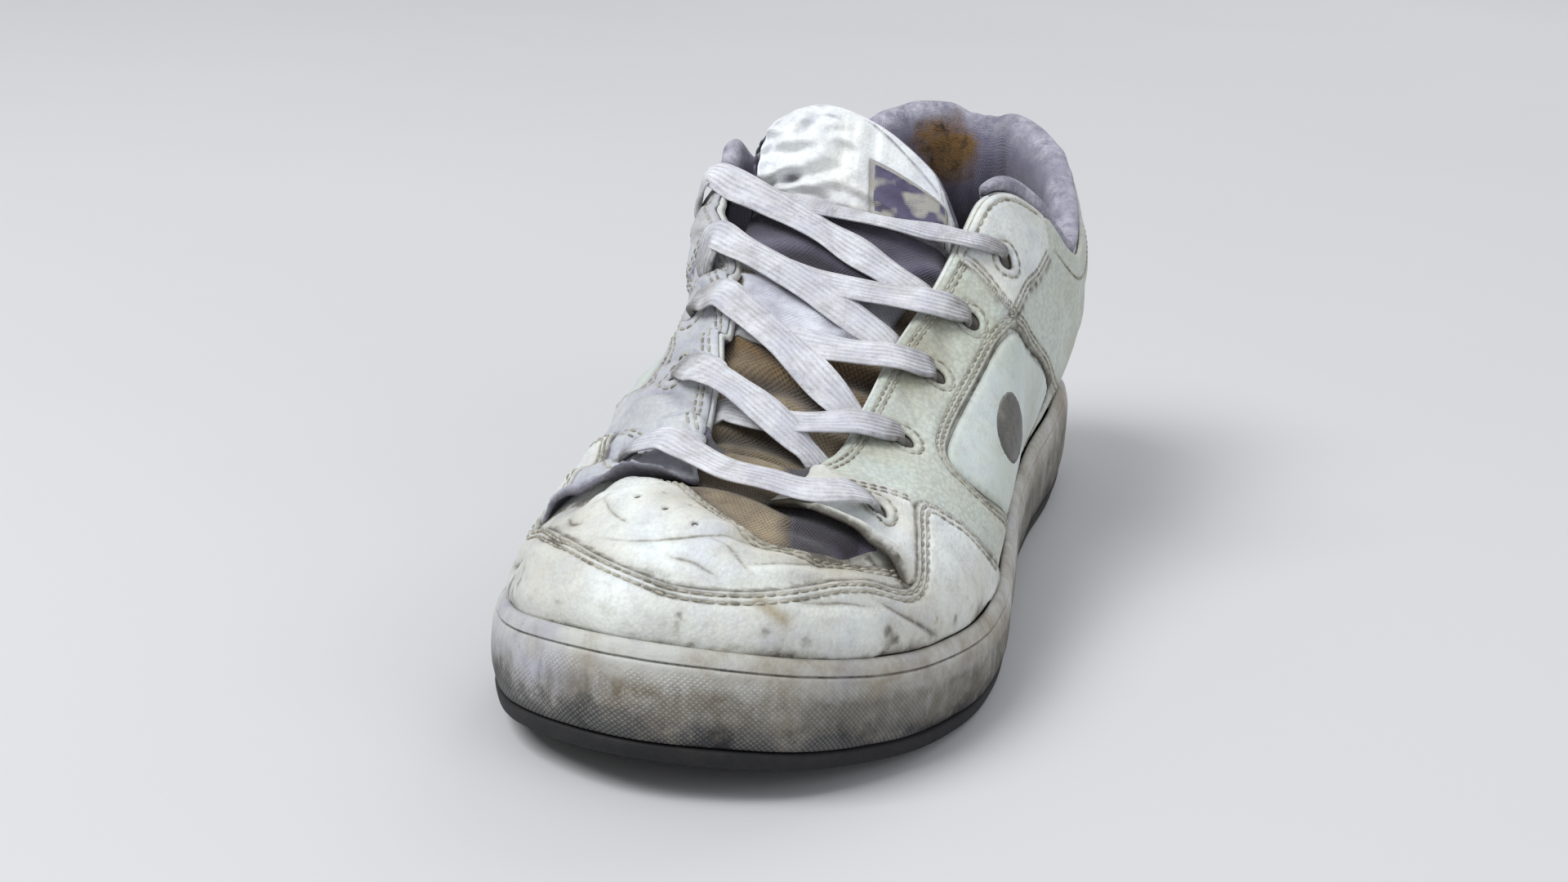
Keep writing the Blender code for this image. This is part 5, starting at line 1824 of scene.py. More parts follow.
@dataclass
class Sole:
    """Cupsole wall with its rim groove and toe mesh, the outsole with its tread, and the insole."""

    columns: int = 480
    cross_lines: int = 300
    cross_points: int = 110
    insole_points: int = 200
    # inset and height over the sole line
    wall_low: tuple = (
        (3.2, 4.4), (2.2, 4.3), (1.5, 4.5), (1.0, 5.1), (0.6, 6.2), (0.3, 7.6), (0.1, 9.2), (0.0, 11.0),
    )
    # inset and height against the rim
    wall_high: tuple = (
        (0.05, -7.4), (0.2, -6.0), (0.45, -4.9), (0.6, -4.4), (0.72, -4.15), (1.15, -4.02), (1.28, -3.85),
        (1.15, -3.68),
        (0.82, -3.55), (0.9, -3.3), (1.1, -2.6), (1.45, -1.85), (1.95, -1.2), (2.5, -0.82), (3.1, -0.7), (3.6, -0.8),
        (3.9, -1.3), (4.2, -4.0),
    )
    groove_insets: tuple = (1.15, 1.28)
    # cross grooves, by share of the length
    tread_lines: tuple = (0.12, 0.18, 0.24, 0.3, 0.58, 0.64, 0.7, 0.76, 0.82, 0.88)

    def rings(self) -> Array:
        """Places round the sole, close together at the toe and heel."""
        turn = np.arange(self.columns) * 2.0 / self.columns
        return turn + 0.06 * np.sin(math.pi * turn)

    def build_wall(self, rubber: Material) -> Object:
        """Make the sidewall.

        Args:
            rubber: Its finish.

        Returns:
            The object.
        """
        u = self.rings()
        share = LAST.share(u)
        base, rim = LAST.spring(share), LAST.rim(share)
        profile = [(inset, base + height) for inset, height in self.wall_low]
        belt_low, belt_high = base + self.wall_low[-1][1], rim + self.wall_high[0][1]
        profile += [(0.0, belt_low + (belt_high - belt_low) * s) for s in np.linspace(0, 1, 12)[1:-1]]
        profile += [(inset, rim + height) for inset, height in self.wall_high]
        profile += [(5.2, rim - 6.0), (5.2, base + 12.0)]
        points, heights, zone = [], [], []
        for inset, height in profile:
            x, y, nx, ny = LAST.outline(u, inset)
            ring = np.stack([x, y, height], axis=1)
            dent = 0.3 * rough_noise(ring, 19.0, 21) + 0.1 * rough_noise(ring, 4.0, 22)
            outer = inset < 3.0
            ring += np.stack([nx, ny, np.zeros(len(u))], axis=1) * (dent * outer)[:, None]
            points.append(ring)
            heights.append(height - base)
            toe = np.clip((share - 0.8) / 0.08, 0, 1) * np.clip((rim - 5.0 - height) / 1.5, 0, 1)
            zone.append(toe)
        points, heights, zone = (np.concatenate(part) for part in (points, heights, zone))
        count = len(profile)
        faces = grid_quads(count, self.columns, True) + mirrored_cap(0, self.columns, True)
        faces += mirrored_cap((count - 1) * self.columns, self.columns)
        around = np.tile(share, count)
        # dirt and painted shade: the wall darkens towards the bottom, most of all at the toe, in clouds
        climb = 1 - np.clip((heights - 4.0) / 17.0, 0, 1)
        front = np.clip((around - 0.72) / 0.2, 0, 1)
        cloud = 1 + 0.5 * rough_noise(points, 13.0, 23)
        grime_and_shade = (1.15 * climb**1.7 * (1 - front) + 1.95 * climb**1.9 * front) * cloud
        rows = np.repeat(np.arange(count), self.columns)
        # dust and painted shade in the rim groove, and on the ledge inside the rim where the upper meets it
        groove = [i for i, (inset, _) in enumerate(profile) if inset in self.groove_insets]
        grime_and_shade = np.where(np.isin(rows, groove), 0.55, grime_and_shade)
        grime_and_shade = np.where(rows >= count - 4, 0.9, grime_and_shade)
        flat = LAST.skin(u, np.zeros(len(u)))
        run = run_along(flat)
        cloth = np.stack([np.tile(run, count), heights], axis=1)
        # lower band for the film of dirt and painted shade, and for the mud runs
        below = np.clip(1.0 - (rows - len(self.wall_low) - 6) / 7.0, 0, 1)
        masks = {Mask.GRIME_AND_SHADE: grime_and_shade, Mask.ZONE: zone, Mask.TINT: below}
        return Piece("cupsole_wall", points, faces, [rubber], masks, cloth).make(("cupsole",), "sidewall_rubber")

    def build_tread(self, rubber: Material) -> Object:
        """Make the outsole: its edge, and a bottom with cross grooves and a fine zigzag.

        Args:
            rubber: Its finish.

        Returns:
            The object.
        """
        half = np.linspace(0, 1, self.cross_lines + 1)
        u = np.concatenate([half, 2 - half[-2:0:-1]])
        share = LAST.share(u)
        low, high = LAST.tread(share), LAST.spring(share) + LAST.outsole_height
        profile = ((2.6, low), (2.0, low + 0.25), (1.6, low + 0.7), (1.35, low + 1.4), (1.2, (low + high) / 2),
                   (1.0, high - 0.6), (1.15, high - 0.2), (1.8, high))
        rings = []
        for inset, height in profile:
            x, y, _, _ = LAST.outline(u, inset)
            rings.append(np.stack([x, y, height], axis=1))
        count = len(u)
        points = [np.concatenate(rings)]
        faces = grid_quads(len(profile), count, True)
        bottom = rings[0]
        across = np.linspace(0, 1, self.cross_points)[1:-1]
        rows = np.arange(1, self.cross_lines)
        first = bottom[rows][:, None] + (bottom[count - rows] - bottom[rows])[:, None] * across[None, :, None]
        flat = first.reshape(-1, 3)
        place = (LAST.length / 2 - flat[:, 1]) / LAST.length
        ground = LAST.tread(place)
        zigzag = np.abs(((flat[:, 1] + 2.2 * np.abs(((flat[:, 0] / 9.0) % 2) - 1) * 2) / 5.2) % 1 - 0.5) * 2
        edge = np.clip(np.minimum(across, 1 - across) / 0.05, 0, 1)
        edge = np.tile(edge, len(rows))
        cut = 0.9 * np.clip((zigzag - 0.72) / 0.15, 0, 1) * edge
        for line in self.tread_lines:
            cut = np.maximum(cut, 1.9 * np.clip(1.9 - np.abs(flat[:, 1] - LAST.along(line)), 0, 0.4) / 0.4)
        flat = np.stack([flat[:, 0], flat[:, 1], ground + cut], axis=1)
        start = len(profile) * count
        points.append(flat)
        width = len(across)
        for k in range(len(rows) - 1):
            for j in range(width - 1):
                a = start + k * width + j
                faces.append((a, a + 1, a + width + 1, a + width))
            a, b = start + k * width, start + k * width + width - 1
            faces.append((rows[k], a, a + width, rows[k + 1]))
            faces.append((b, count - rows[k], count - rows[k + 1], b + width))
        for row, edge_row in ((0, 0), (len(rows) - 1, self.cross_lines)):
            a = start + row * width
            fan = [int(rows[row])] + [a + j for j in range(width)] + [int(count - rows[row])]
            for p, q in zip(fan[:-1], fan[1:]):
                faces.append((edge_row, q, p) if row == 0 else (edge_row, p, q))
        faces += mirrored_cap((len(profile) - 1) * count, count)
        faces = [tuple(int(i) for i in f) for f in faces]
        tread = Piece("outsole_tread", np.concatenate(points), faces, [rubber])
        return tread.make(("outsole",), "dark_outsole_rubber")

    def build_insole(self, foam: Material) -> Object:
        """Make the insole with its trodden hollow.

        Args:
            foam: Its finish.

        Returns:
            The object.
        """
        count = self.insole_points
        turn = np.arange(count) * 2.0 / count
        share = LAST.share(turn)
        base = LAST.spring(share) + LAST.floor_height + LAST.gap
        rings = []
        centre_x, centre_y, _, _ = LAST.outline(turn, LAST.insole_inset)
        middle = np.stack([np.full(count, centre_x.mean()), np.clip(centre_y, -95, 95)], axis=1)
        top = LAST.insole_thickness
        for inset, rise in ((0.8, 0.0), (0.0, 1.0), (0.0, top - 0.8), (0.5, top - 0.2), (1.5, top)):
            x, y, _, _ = LAST.outline(turn, LAST.insole_inset + inset)
            rings.append(np.stack([x, y, base + rise], axis=1))
        rim = rings[-1]
        for s in np.linspace(0, 1, 16)[1:]:
            spot = rim[:, :2] * (1 - s) + middle * s
            place = (LAST.length / 2 - spot[:, 1]) / LAST.length
            height = LAST.spring(place) + LAST.floor_height + LAST.gap + top
            dip = 1.0 * np.clip(s * 2, 0, 1)
            rings.append(np.stack([spot[:, 0], spot[:, 1], height - dip], axis=1))
        points = np.concatenate(rings)
        faces = grid_quads(len(rings), count, True) + mirrored_cap(0, count, True)
        faces += mirrored_cap((len(rings) - 1) * count, count)
        return Piece("insole_pad", points, faces, [foam]).make(("insole",), "insole_foam")


@dataclass
class Collar:
    """Padded textile lining rolled over the collar edge from one throat corner to the other."""

    reach: float = 0.53
    rings: int = 260
    around: int = 44
    inside_rows: tuple = ((0.5, -4.4), (0.5, -3.0), (0.667, -3.0), (0.833, -3.0), (0.985, -3.0))
    roll: tuple = ((0.7, -3.0), (0.8, -0.3), (2.7, -0.1), (4.2, -3.0), (2.6, -6.6))
    face_rows: tuple = ((0.92, -8.8), (0.76, -9.2), (0.61, -7.2))
    stain_middle: tuple = (-7.0, 127.0, 93.0)
    stain_radius: float = 9.0

    def build(self, cloth: Material) -> Object:
        """Make the lining.

        Args:
            cloth: Its finish.

        Returns:
            The object.
        """
        u = np.linspace(-self.reach, self.reach, self.rings)
        fade = np.clip((self.reach - np.abs(u)) / 0.1, 0, 1)
        plump = 0.25 + 0.75 * fade**0.7
        rest = LAST.wall + 2 * LAST.gap

        def pressed(value: float) -> Array:
            """Depth of the padding where it thins towards its ends."""
            return -rest + (value + rest) * plump

        sections = [LAST.lay(u, np.full_like(u, v), pressed(d)) for v, d in self.inside_rows]
        for rise, d in self.roll:
            over = LAST.lay(u, np.ones_like(u), d * np.ones_like(u) if d > -4 else pressed(d))
            corner = 0.75 * np.exp(-((np.abs(u) - 0.475) / 0.05) ** 2)
            over[:, 2] += rise if rise < 1 else 0.7 + (rise - 0.7) * (0.4 + 0.6 * plump + corner)
            sections.append(over)
        sections += [LAST.lay(u, np.full_like(u, v), pressed(d)) for v, d in self.face_rows]
        ring = np.array(sections)
        ring = np.concatenate([ring, ring[:1]])
        at = np.linspace(0, 1, self.around + 1)[:-1]
        dense = smooth_line(ring, at)
        centre = dense.mean(axis=0)
        away = dense - centre
        away = unit(away)
        flat = dense.reshape(-1, 3)
        swell = 0.55 * rough_noise(flat, 16.0, 31) + 0.28 * rough_noise(flat, 6.0, 32)
        pull = np.sin(np.tile(np.abs(u) * 95, (self.around, 1)) + 3 * np.sin(np.abs(u) * 31)).reshape(-1) * 0.22
        loose = np.tile(np.arange(self.around)[:, None] / self.around > 0.42, (1, self.rings)).reshape(-1)
        flat = flat + away.reshape(-1, 3) * ((swell + pull) * np.where(loose, 1.0, 0.15))[:, None]
        points = np.swapaxes(flat.reshape(self.around, self.rings, 3), 0, 1).reshape(-1, 3)
        faces = grid_quads(self.rings, self.around, True)
        faces.append(tuple(range(self.around - 1, -1, -1)))
        faces.append(tuple((self.rings - 1) * self.around + i for i in range(self.around)))
        faces = [tuple(reversed(f)) for f in faces]
        fall = LAST.skin(np.repeat(u, self.around), np.ones(len(points)))[:, 2] - points[:, 2]
        # painted shade deepens inside the shoe; the crest gets lint and a painted highlight
        depth = np.clip((fall - 2.0) / 26, 0, 1)
        crest = np.exp(-(np.clip(fall + 2.0, 0, None) / 4.5) ** 2)
        crest = crest * np.clip(0.75 + 0.6 * rough_noise(points, 7.0, 34), 0, 1)
        # the brown stain inside the heel
        off = np.linalg.norm((points - self.stain_middle) * (0.95, 0.55, 1.1), axis=1)
        tint = np.exp(-(off * (1 + 0.35 * rough_noise(points, 5.0, 33)) / self.stain_radius) ** 3)
        length = np.repeat(u * 360, self.around)
        cloth_map = np.stack([length, np.tile(np.arange(self.around) * 1.6, self.rings)], axis=1)
        masks = {Mask.GRIME_AND_SHADE: depth * 0.8, Mask.TINT: tint, Mask.ZONE: crest}
        padding = Piece("collar_padding", points, faces, [cloth], masks, cloth_map)
        item = padding.make(("collar_lining",), "lining_textile")
        return item


@dataclass
class Tongue:
    """Padded tongue, its label and the lace keeper."""

    rest: float = 1.8
    # u, crown, thickness
    throat: tuple = ((0.925, -6.5, 2.2), (0.895, -2.0, 2.6), (0.85, 0.5, 3.2), (0.79, 1.0, 3.8),
                     (0.73, 0.8, 4.4), (0.67, 0.6, 5.0), (0.62, 0.6, 6.0))
    # thickness, then x, share, z of six points across
    top: tuple = (
        (7.5, (21, 0.452, 84), (16, 0.449, 88), (0, 0.445, 92), (-17, 0.443, 93), (-29, 0.441, 91.5),
         (-34, 0.442, 89)),
        (9.0, (20, 0.433, 91), (15, 0.429, 96), (-2, 0.423, 102), (-18, 0.42, 104), (-31, 0.42, 101),
         (-35, 0.422, 97)),
        (9.0, (17, 0.416, 95), (12, 0.411, 100.5), (-3, 0.405, 110), (-19, 0.404, 114), (-31, 0.408, 110),
         (-36, 0.413, 103)),
        (5.5, (15, 0.409, 99), (10, 0.404, 105), (-4, 0.397, 114), (-19, 0.395, 118), (-30, 0.399, 114),
         (-35, 0.405, 107)),
    )
    lines: int = 150
    across: int = 92
    # length and width in mm
    laid_flat: tuple = (150.0, 58.0)
    # path over (s, t), height in mm, half width in mm
    creases: tuple = (
        (((0.975, 0.9), (0.9, 0.925), (0.82, 0.93), (0.76, 0.9)), -1.5, 1.9),
        (((0.785, 0.97), (0.765, 0.9), (0.755, 0.8), (0.765, 0.7)), -1.7, 1.9),
        (((0.765, 0.7), (0.775, 0.6), (0.8, 0.52), (0.84, 0.5)), -1.3, 1.8),
        (((0.925, 0.905), (0.885, 0.84), (0.865, 0.78)), -1.0, 1.7),
        (((0.985, 0.77), (0.955, 0.755), (0.925, 0.77)), -0.9, 1.5),
        (((0.99, 0.62), (0.95, 0.6), (0.915, 0.61)), -0.8, 1.5),
        (((0.915, 0.57), (0.885, 0.63), (0.86, 0.65)), -0.8, 1.6),
        (((0.845, 0.8), (0.825, 0.72), (0.83, 0.64)), -0.9, 1.7),
        (((0.735, 0.93), (0.725, 0.8), (0.735, 0.68), (0.725, 0.56)), -1.1, 1.6),
        (((0.745, 0.55), (0.735, 0.45), (0.72, 0.36)), -0.9, 1.6),
        (((0.86, 0.965), (0.845, 0.955), (0.82, 0.97)), -1.2, 1.4),
        (((0.95, 0.965), (0.93, 0.95), (0.905, 0.965)), -1.2, 1.4),
        (((0.975, 0.42), (0.93, 0.3), (0.895, 0.16)), -0.7, 1.2),
        (((0.7, 0.3), (0.73, 0.2), (0.76, 0.12)), -0.8, 1.6),
        (((0.78, 0.84), (0.81, 0.86)), 1.0, 2.6),
        (((0.6, 0.2), (0.56, 0.4), (0.6, 0.62), (0.57, 0.85)), -1.0, 2.6),
        (((0.48, 0.15), (0.5, 0.24), (0.47, 0.32)), -0.9, 2.2),
        (((0.38, 0.2), (0.36, 0.45), (0.39, 0.75)), -1.1, 2.6),
        (((0.28, 0.25), (0.3, 0.5), (0.27, 0.8)), -1.0, 2.4),
        (((0.18, 0.2), (0.2, 0.55), (0.17, 0.85)), -0.9, 2.6),
    )

    def rows(self) -> tuple[Array, Array]:
        """Front and back points of every station of the tongue.

        Returns:
            Two grids of points in mm.
        """
        front, back = [], []
        for u, crown, thickness in self.throat:
            ends = []
            for depth in (-(LAST.wall + self.rest), -(LAST.wall + self.rest + thickness)):
                outer = LAST.lay([u, u], [0.88, 1.0], [depth - 0.8, depth])
                inner = LAST.lay([2 - u, 2 - u], [1.0, 0.88], [depth, depth - 0.8])
                lift = np.array([0, -0.35, 0.94]) * crown
                third = outer[1] + (inner[0] - outer[1]) / 3 + lift
                other = outer[1] + (inner[0] - outer[1]) * 2 / 3 + lift
                ends.append(np.array([outer[0], outer[1], third, other, inner[0], inner[1]]))
            front.append(ends[0])
            back.append(ends[1])
        for thickness, *row in self.top:
            crossing = np.array([(x, float(LAST.along(share)), z) for x, share, z in row], float)
            front.append(crossing)
            back.append(crossing + np.array([0.0, 0.97, -0.25]) * thickness)
        return np.array(front), np.array(back)

    def sheet(self, lengthwise: Array, crosswise: Array) -> tuple[Array, Array]:
        """Front and back grids of the tongue.

        Args:
            lengthwise: Places from its lower end, 0, to its top, 1.
            crosswise: Places from the outer side, 0, to the inner one, 1.

        Returns:
            The two grids in mm.
        """
        grids = []
        for table in self.rows():
            grid = smooth_line(table, lengthwise)
            grids.append(np.swapaxes(smooth_line(np.swapaxes(grid, 0, 1), crosswise), 0, 1))
        return grids[0], grids[1]

    def laid(self, lengthwise: Array, crosswise: Array) -> tuple[Array, ...]:
        """Sheet with its padding.

        Args:
            lengthwise: Places up the tongue.
            crosswise: Places across it.

        Returns:
            Front and back points, the way the front looks, both places, the padding's height and a flat map in mm.
        """
        front, back = self.sheet(lengthwise, crosswise)
        s, t = np.meshgrid(lengthwise, crosswise, indexing="ij")
        rise = self.puffs(s.ravel(), t.ravel(), front.reshape(-1, 3)).reshape(s.shape)
        size = np.stack([s.ravel(), t.ravel()], axis=1) * self.laid_flat
        return front, back, unit(front - back), s, t, rise, np.tile(size, (2, 1))

    def puffs(self, s: Array, t: Array, points: Array) -> Array:
        """Height of the padding over the plain sheet in mm.

        Args:
            s: Place up the tongue.
            t: Place across it.
            points: Its points in mm.

        Returns:
            Heights.
        """
        up = np.clip((s - 0.68) / 0.06, 0, 1) * np.clip((1.0 - s) / 0.05, 0, 1) ** 0.5
        pillow = 2.6 * np.clip(1 - ((s - 0.86) / 0.17) ** 2, 0, 1) * np.clip(1 - ((t - 0.66) / 0.29) ** 4, 0, 1)
        ribs = 0.7 * np.abs(np.sin((t - 0.4) * 80)) * np.exp(-((t - 0.47) / 0.06) ** 2)
        channel = -1.2 * np.exp(-((t - 0.415) / 0.014) ** 2)
        edge = -0.8 * np.exp(-((t - 0.93) / 0.018) ** 2) - 0.6 * np.exp(-((t - 0.055) / 0.018) ** 2)
        rumple = 0.6 - 2.6 * np.abs(rough_noise(points, 11.0, 41)) + 0.9 * rough_noise(points, 5.0, 42)
        slit = -1.1 * np.exp(-((s - 0.755) / 0.006) ** 2 - ((t - 0.66) / 0.045) ** 2)
        low = 0.9 * rough_noise(points, 8.0, 43) * (1 - up)
        waist = -1.0 * np.exp(-((s - 0.705) / 0.012) ** 2)
        quilted = np.clip((t - 0.44) / 0.08, 0.15, 1)
        total = up * (pillow + ribs + channel + edge + 0.75 * rumple * quilted + slit) + low * 0.6 + waist
        flat = np.stack([s, t], axis=1) * self.laid_flat
        for path, height, width in self.creases:
            gap, _ = nearest(flat, smooth_line(np.array(path) * self.laid_flat, np.linspace(0, 1, 12)))
            bell = np.exp(-(gap / width) ** 2) - 0.45 * np.exp(-((gap - 1.9 * width) / (0.8 * width)) ** 2)
            total = total + 1.25 * height * bell
        return total

    def build(self, leather: Material, mesh_cloth: Material,
              lining: Material) -> Object:
        """Make the tongue.

        Args:
            leather: Finish of its padded top.
            mesh_cloth: Finish of its lower part.
            lining: Finish of its back and edges.

        Returns:
            The object.
        """
        lengthwise = np.linspace(0, 1, self.lines)
        crosswise = np.linspace(0, 1, self.across)
        front, back, away, s, t, rise, size = self.laid(lengthwise, crosswise)
        rim = np.minimum.reduce([t / 0.03, (1 - t) / 0.03, (1 - s) / 0.03, np.full(s.shape, 1.0)])
        rim = np.sqrt(np.clip(1 - (1 - np.clip(rim, 0, 1)) ** 2, 0, 1))
        thick = np.linalg.norm(front - back, axis=-1, keepdims=True)
        middle = (front + back) / 2
        half = away * (thick / 2 * (0.45 + 0.55 * rim[..., None]))
        face, rear = middle + half + away * (rise * rim)[..., None], middle - half
        points = np.concatenate([face.reshape(-1, 3), rear.reshape(-1, 3)])
        count = self.lines * self.across
        faces = closed_sheet(self.lines, self.across)
        # padded leather to the mesh, textile between as painted shade under the laces, at the inner edge and behind
        up, over = np.meshgrid(lengthwise[:-1], np.arange(self.across - 1) / (self.across - 1), indexing="ij")
        kinds = np.where(up > 0.69, np.where(over > 0.955, 2, 0), np.where(up > 0.57, 2, 1)).ravel()
        finish = np.concatenate([kinds, np.full(len(faces) - len(kinds), 2)])
        # and in the groove at the waist; the back gets a lighter painted shade
        # painted shade in the padding's creases, on the lower part under the laces, at its edges there
        deep = np.clip(0.4 - rise / 2.2, 0, 1) * 0.75
        sunk = np.clip((0.72 - s) / 0.03, 0, 1)
        edges = 0.6 * np.exp(-(np.minimum(t, 1 - t) / 0.09) ** 2)
        dark = deep + sunk * (0.15 + 0.35 * np.clip((s - 0.53) / 0.05, 0, 1) + edges)
        dark = np.clip(dark + 0.35 * np.clip(1 - np.abs(s - 0.7) / 0.02, 0, 1), 0, 1).ravel()
        tint = 0.5 * np.exp(-((s - 0.36) / 0.08) ** 2) + 0.22 * np.clip((0.8 - s) / 0.1, 0, 1) * (s > 0.7)
        tint = np.clip(tint, 0, 1).ravel()
        masks = {Mask.GRIME_AND_SHADE: np.concatenate([dark, np.full(count, 0.3)]), Mask.TINT: np.tile(tint, 2)}
        cover = Piece("tongue_padding", points, faces, [leather, mesh_cloth, lining], masks, size, finish)
        item = cover.make(("tongue",), "tongue_cover")
        return item

    def plate(self, name: str, rows: tuple, columns: tuple, thickness: float, finish: list, node: str,
              frame_width: float = 0.0) -> Object:
        """Make a thin textile piece lying on the tongue.

        Args:
            name: Name of the piece.
            rows: Places up the tongue that it covers.
            columns: Places across the tongue that it covers.
            thickness: Thickness in mm.
            finish: Materials: the field, then its border.
            node: Solid it stands for.
            frame_width: Share of the piece that its border takes.

        Returns:
            The object.
        """
        nr, nc = 26, 34
        front, _, away, s, _, rise, size = self.laid(np.linspace(*rows, nr), np.linspace(*columns, nc))
        spots = front.reshape(-1, 3)
        i, j = np.meshgrid(np.linspace(0, 1, nr), np.linspace(0, 1, nc), indexing="ij")
        rim = np.minimum.reduce([i, 1 - i, j, 1 - j])
        soft = np.sqrt(np.clip(1 - (1 - np.clip(rim / 0.06, 0, 1)) ** 2, 0, 1))
        frame_rise = 0.35 * np.clip((frame_width - rim) / 0.02, 0, 1)
        wave = (0.25 if frame_width else 0.8) * rough_noise(spots, 5.0, 51).reshape(s.shape)
        lift = rise + 0.25 + wave
        face = front + away * (lift + thickness * (0.4 + 0.6 * soft) + frame_rise)[..., None]
        rear = front + away * (lift - 0.5)[..., None]
        points = np.concatenate([face.reshape(-1, 3), rear.reshape(-1, 3)])
        faces = closed_sheet(nr, nc)
        a, b = np.meshgrid(np.arange(nr - 1) / (nr - 1), np.arange(nc - 1) / (nc - 1), indexing="ij")
        framed = (np.minimum.reduce([a, 1 - a, b, 1 - b]) < frame_width - 0.02).ravel()
        kinds = np.concatenate([framed, np.zeros(len(faces) - len(framed))]).astype(int)
        grime_and_shade = 0.25 * np.clip(1 - rim / 0.05, 0, 1)
        if not frame_width:
            # the strap is grey with handling at its outer end, and darker in clouds
            cloud = np.clip(rough_noise(spots, 7.0, 55), 0, 1).reshape(s.shape)
            grime_and_shade += 0.55 * np.clip((0.34 - j) / 0.1, 0, 1) + 0.4 * cloud
        masks = {Mask.GRIME_AND_SHADE: np.tile(grime_and_shade.ravel(), 2)}
        if frame_width:
            patchy = rough_noise(spots, 4.2, 57) + 0.9 * rough_noise(spots, 2.4, 54)
            masks[Mask.TINT] = np.tile(np.clip(1.4 * patchy - 0.12, 0, 0.8), 2)
        return Piece(name, points, faces, finish, masks, size, kinds).make((node,), "woven_textile")


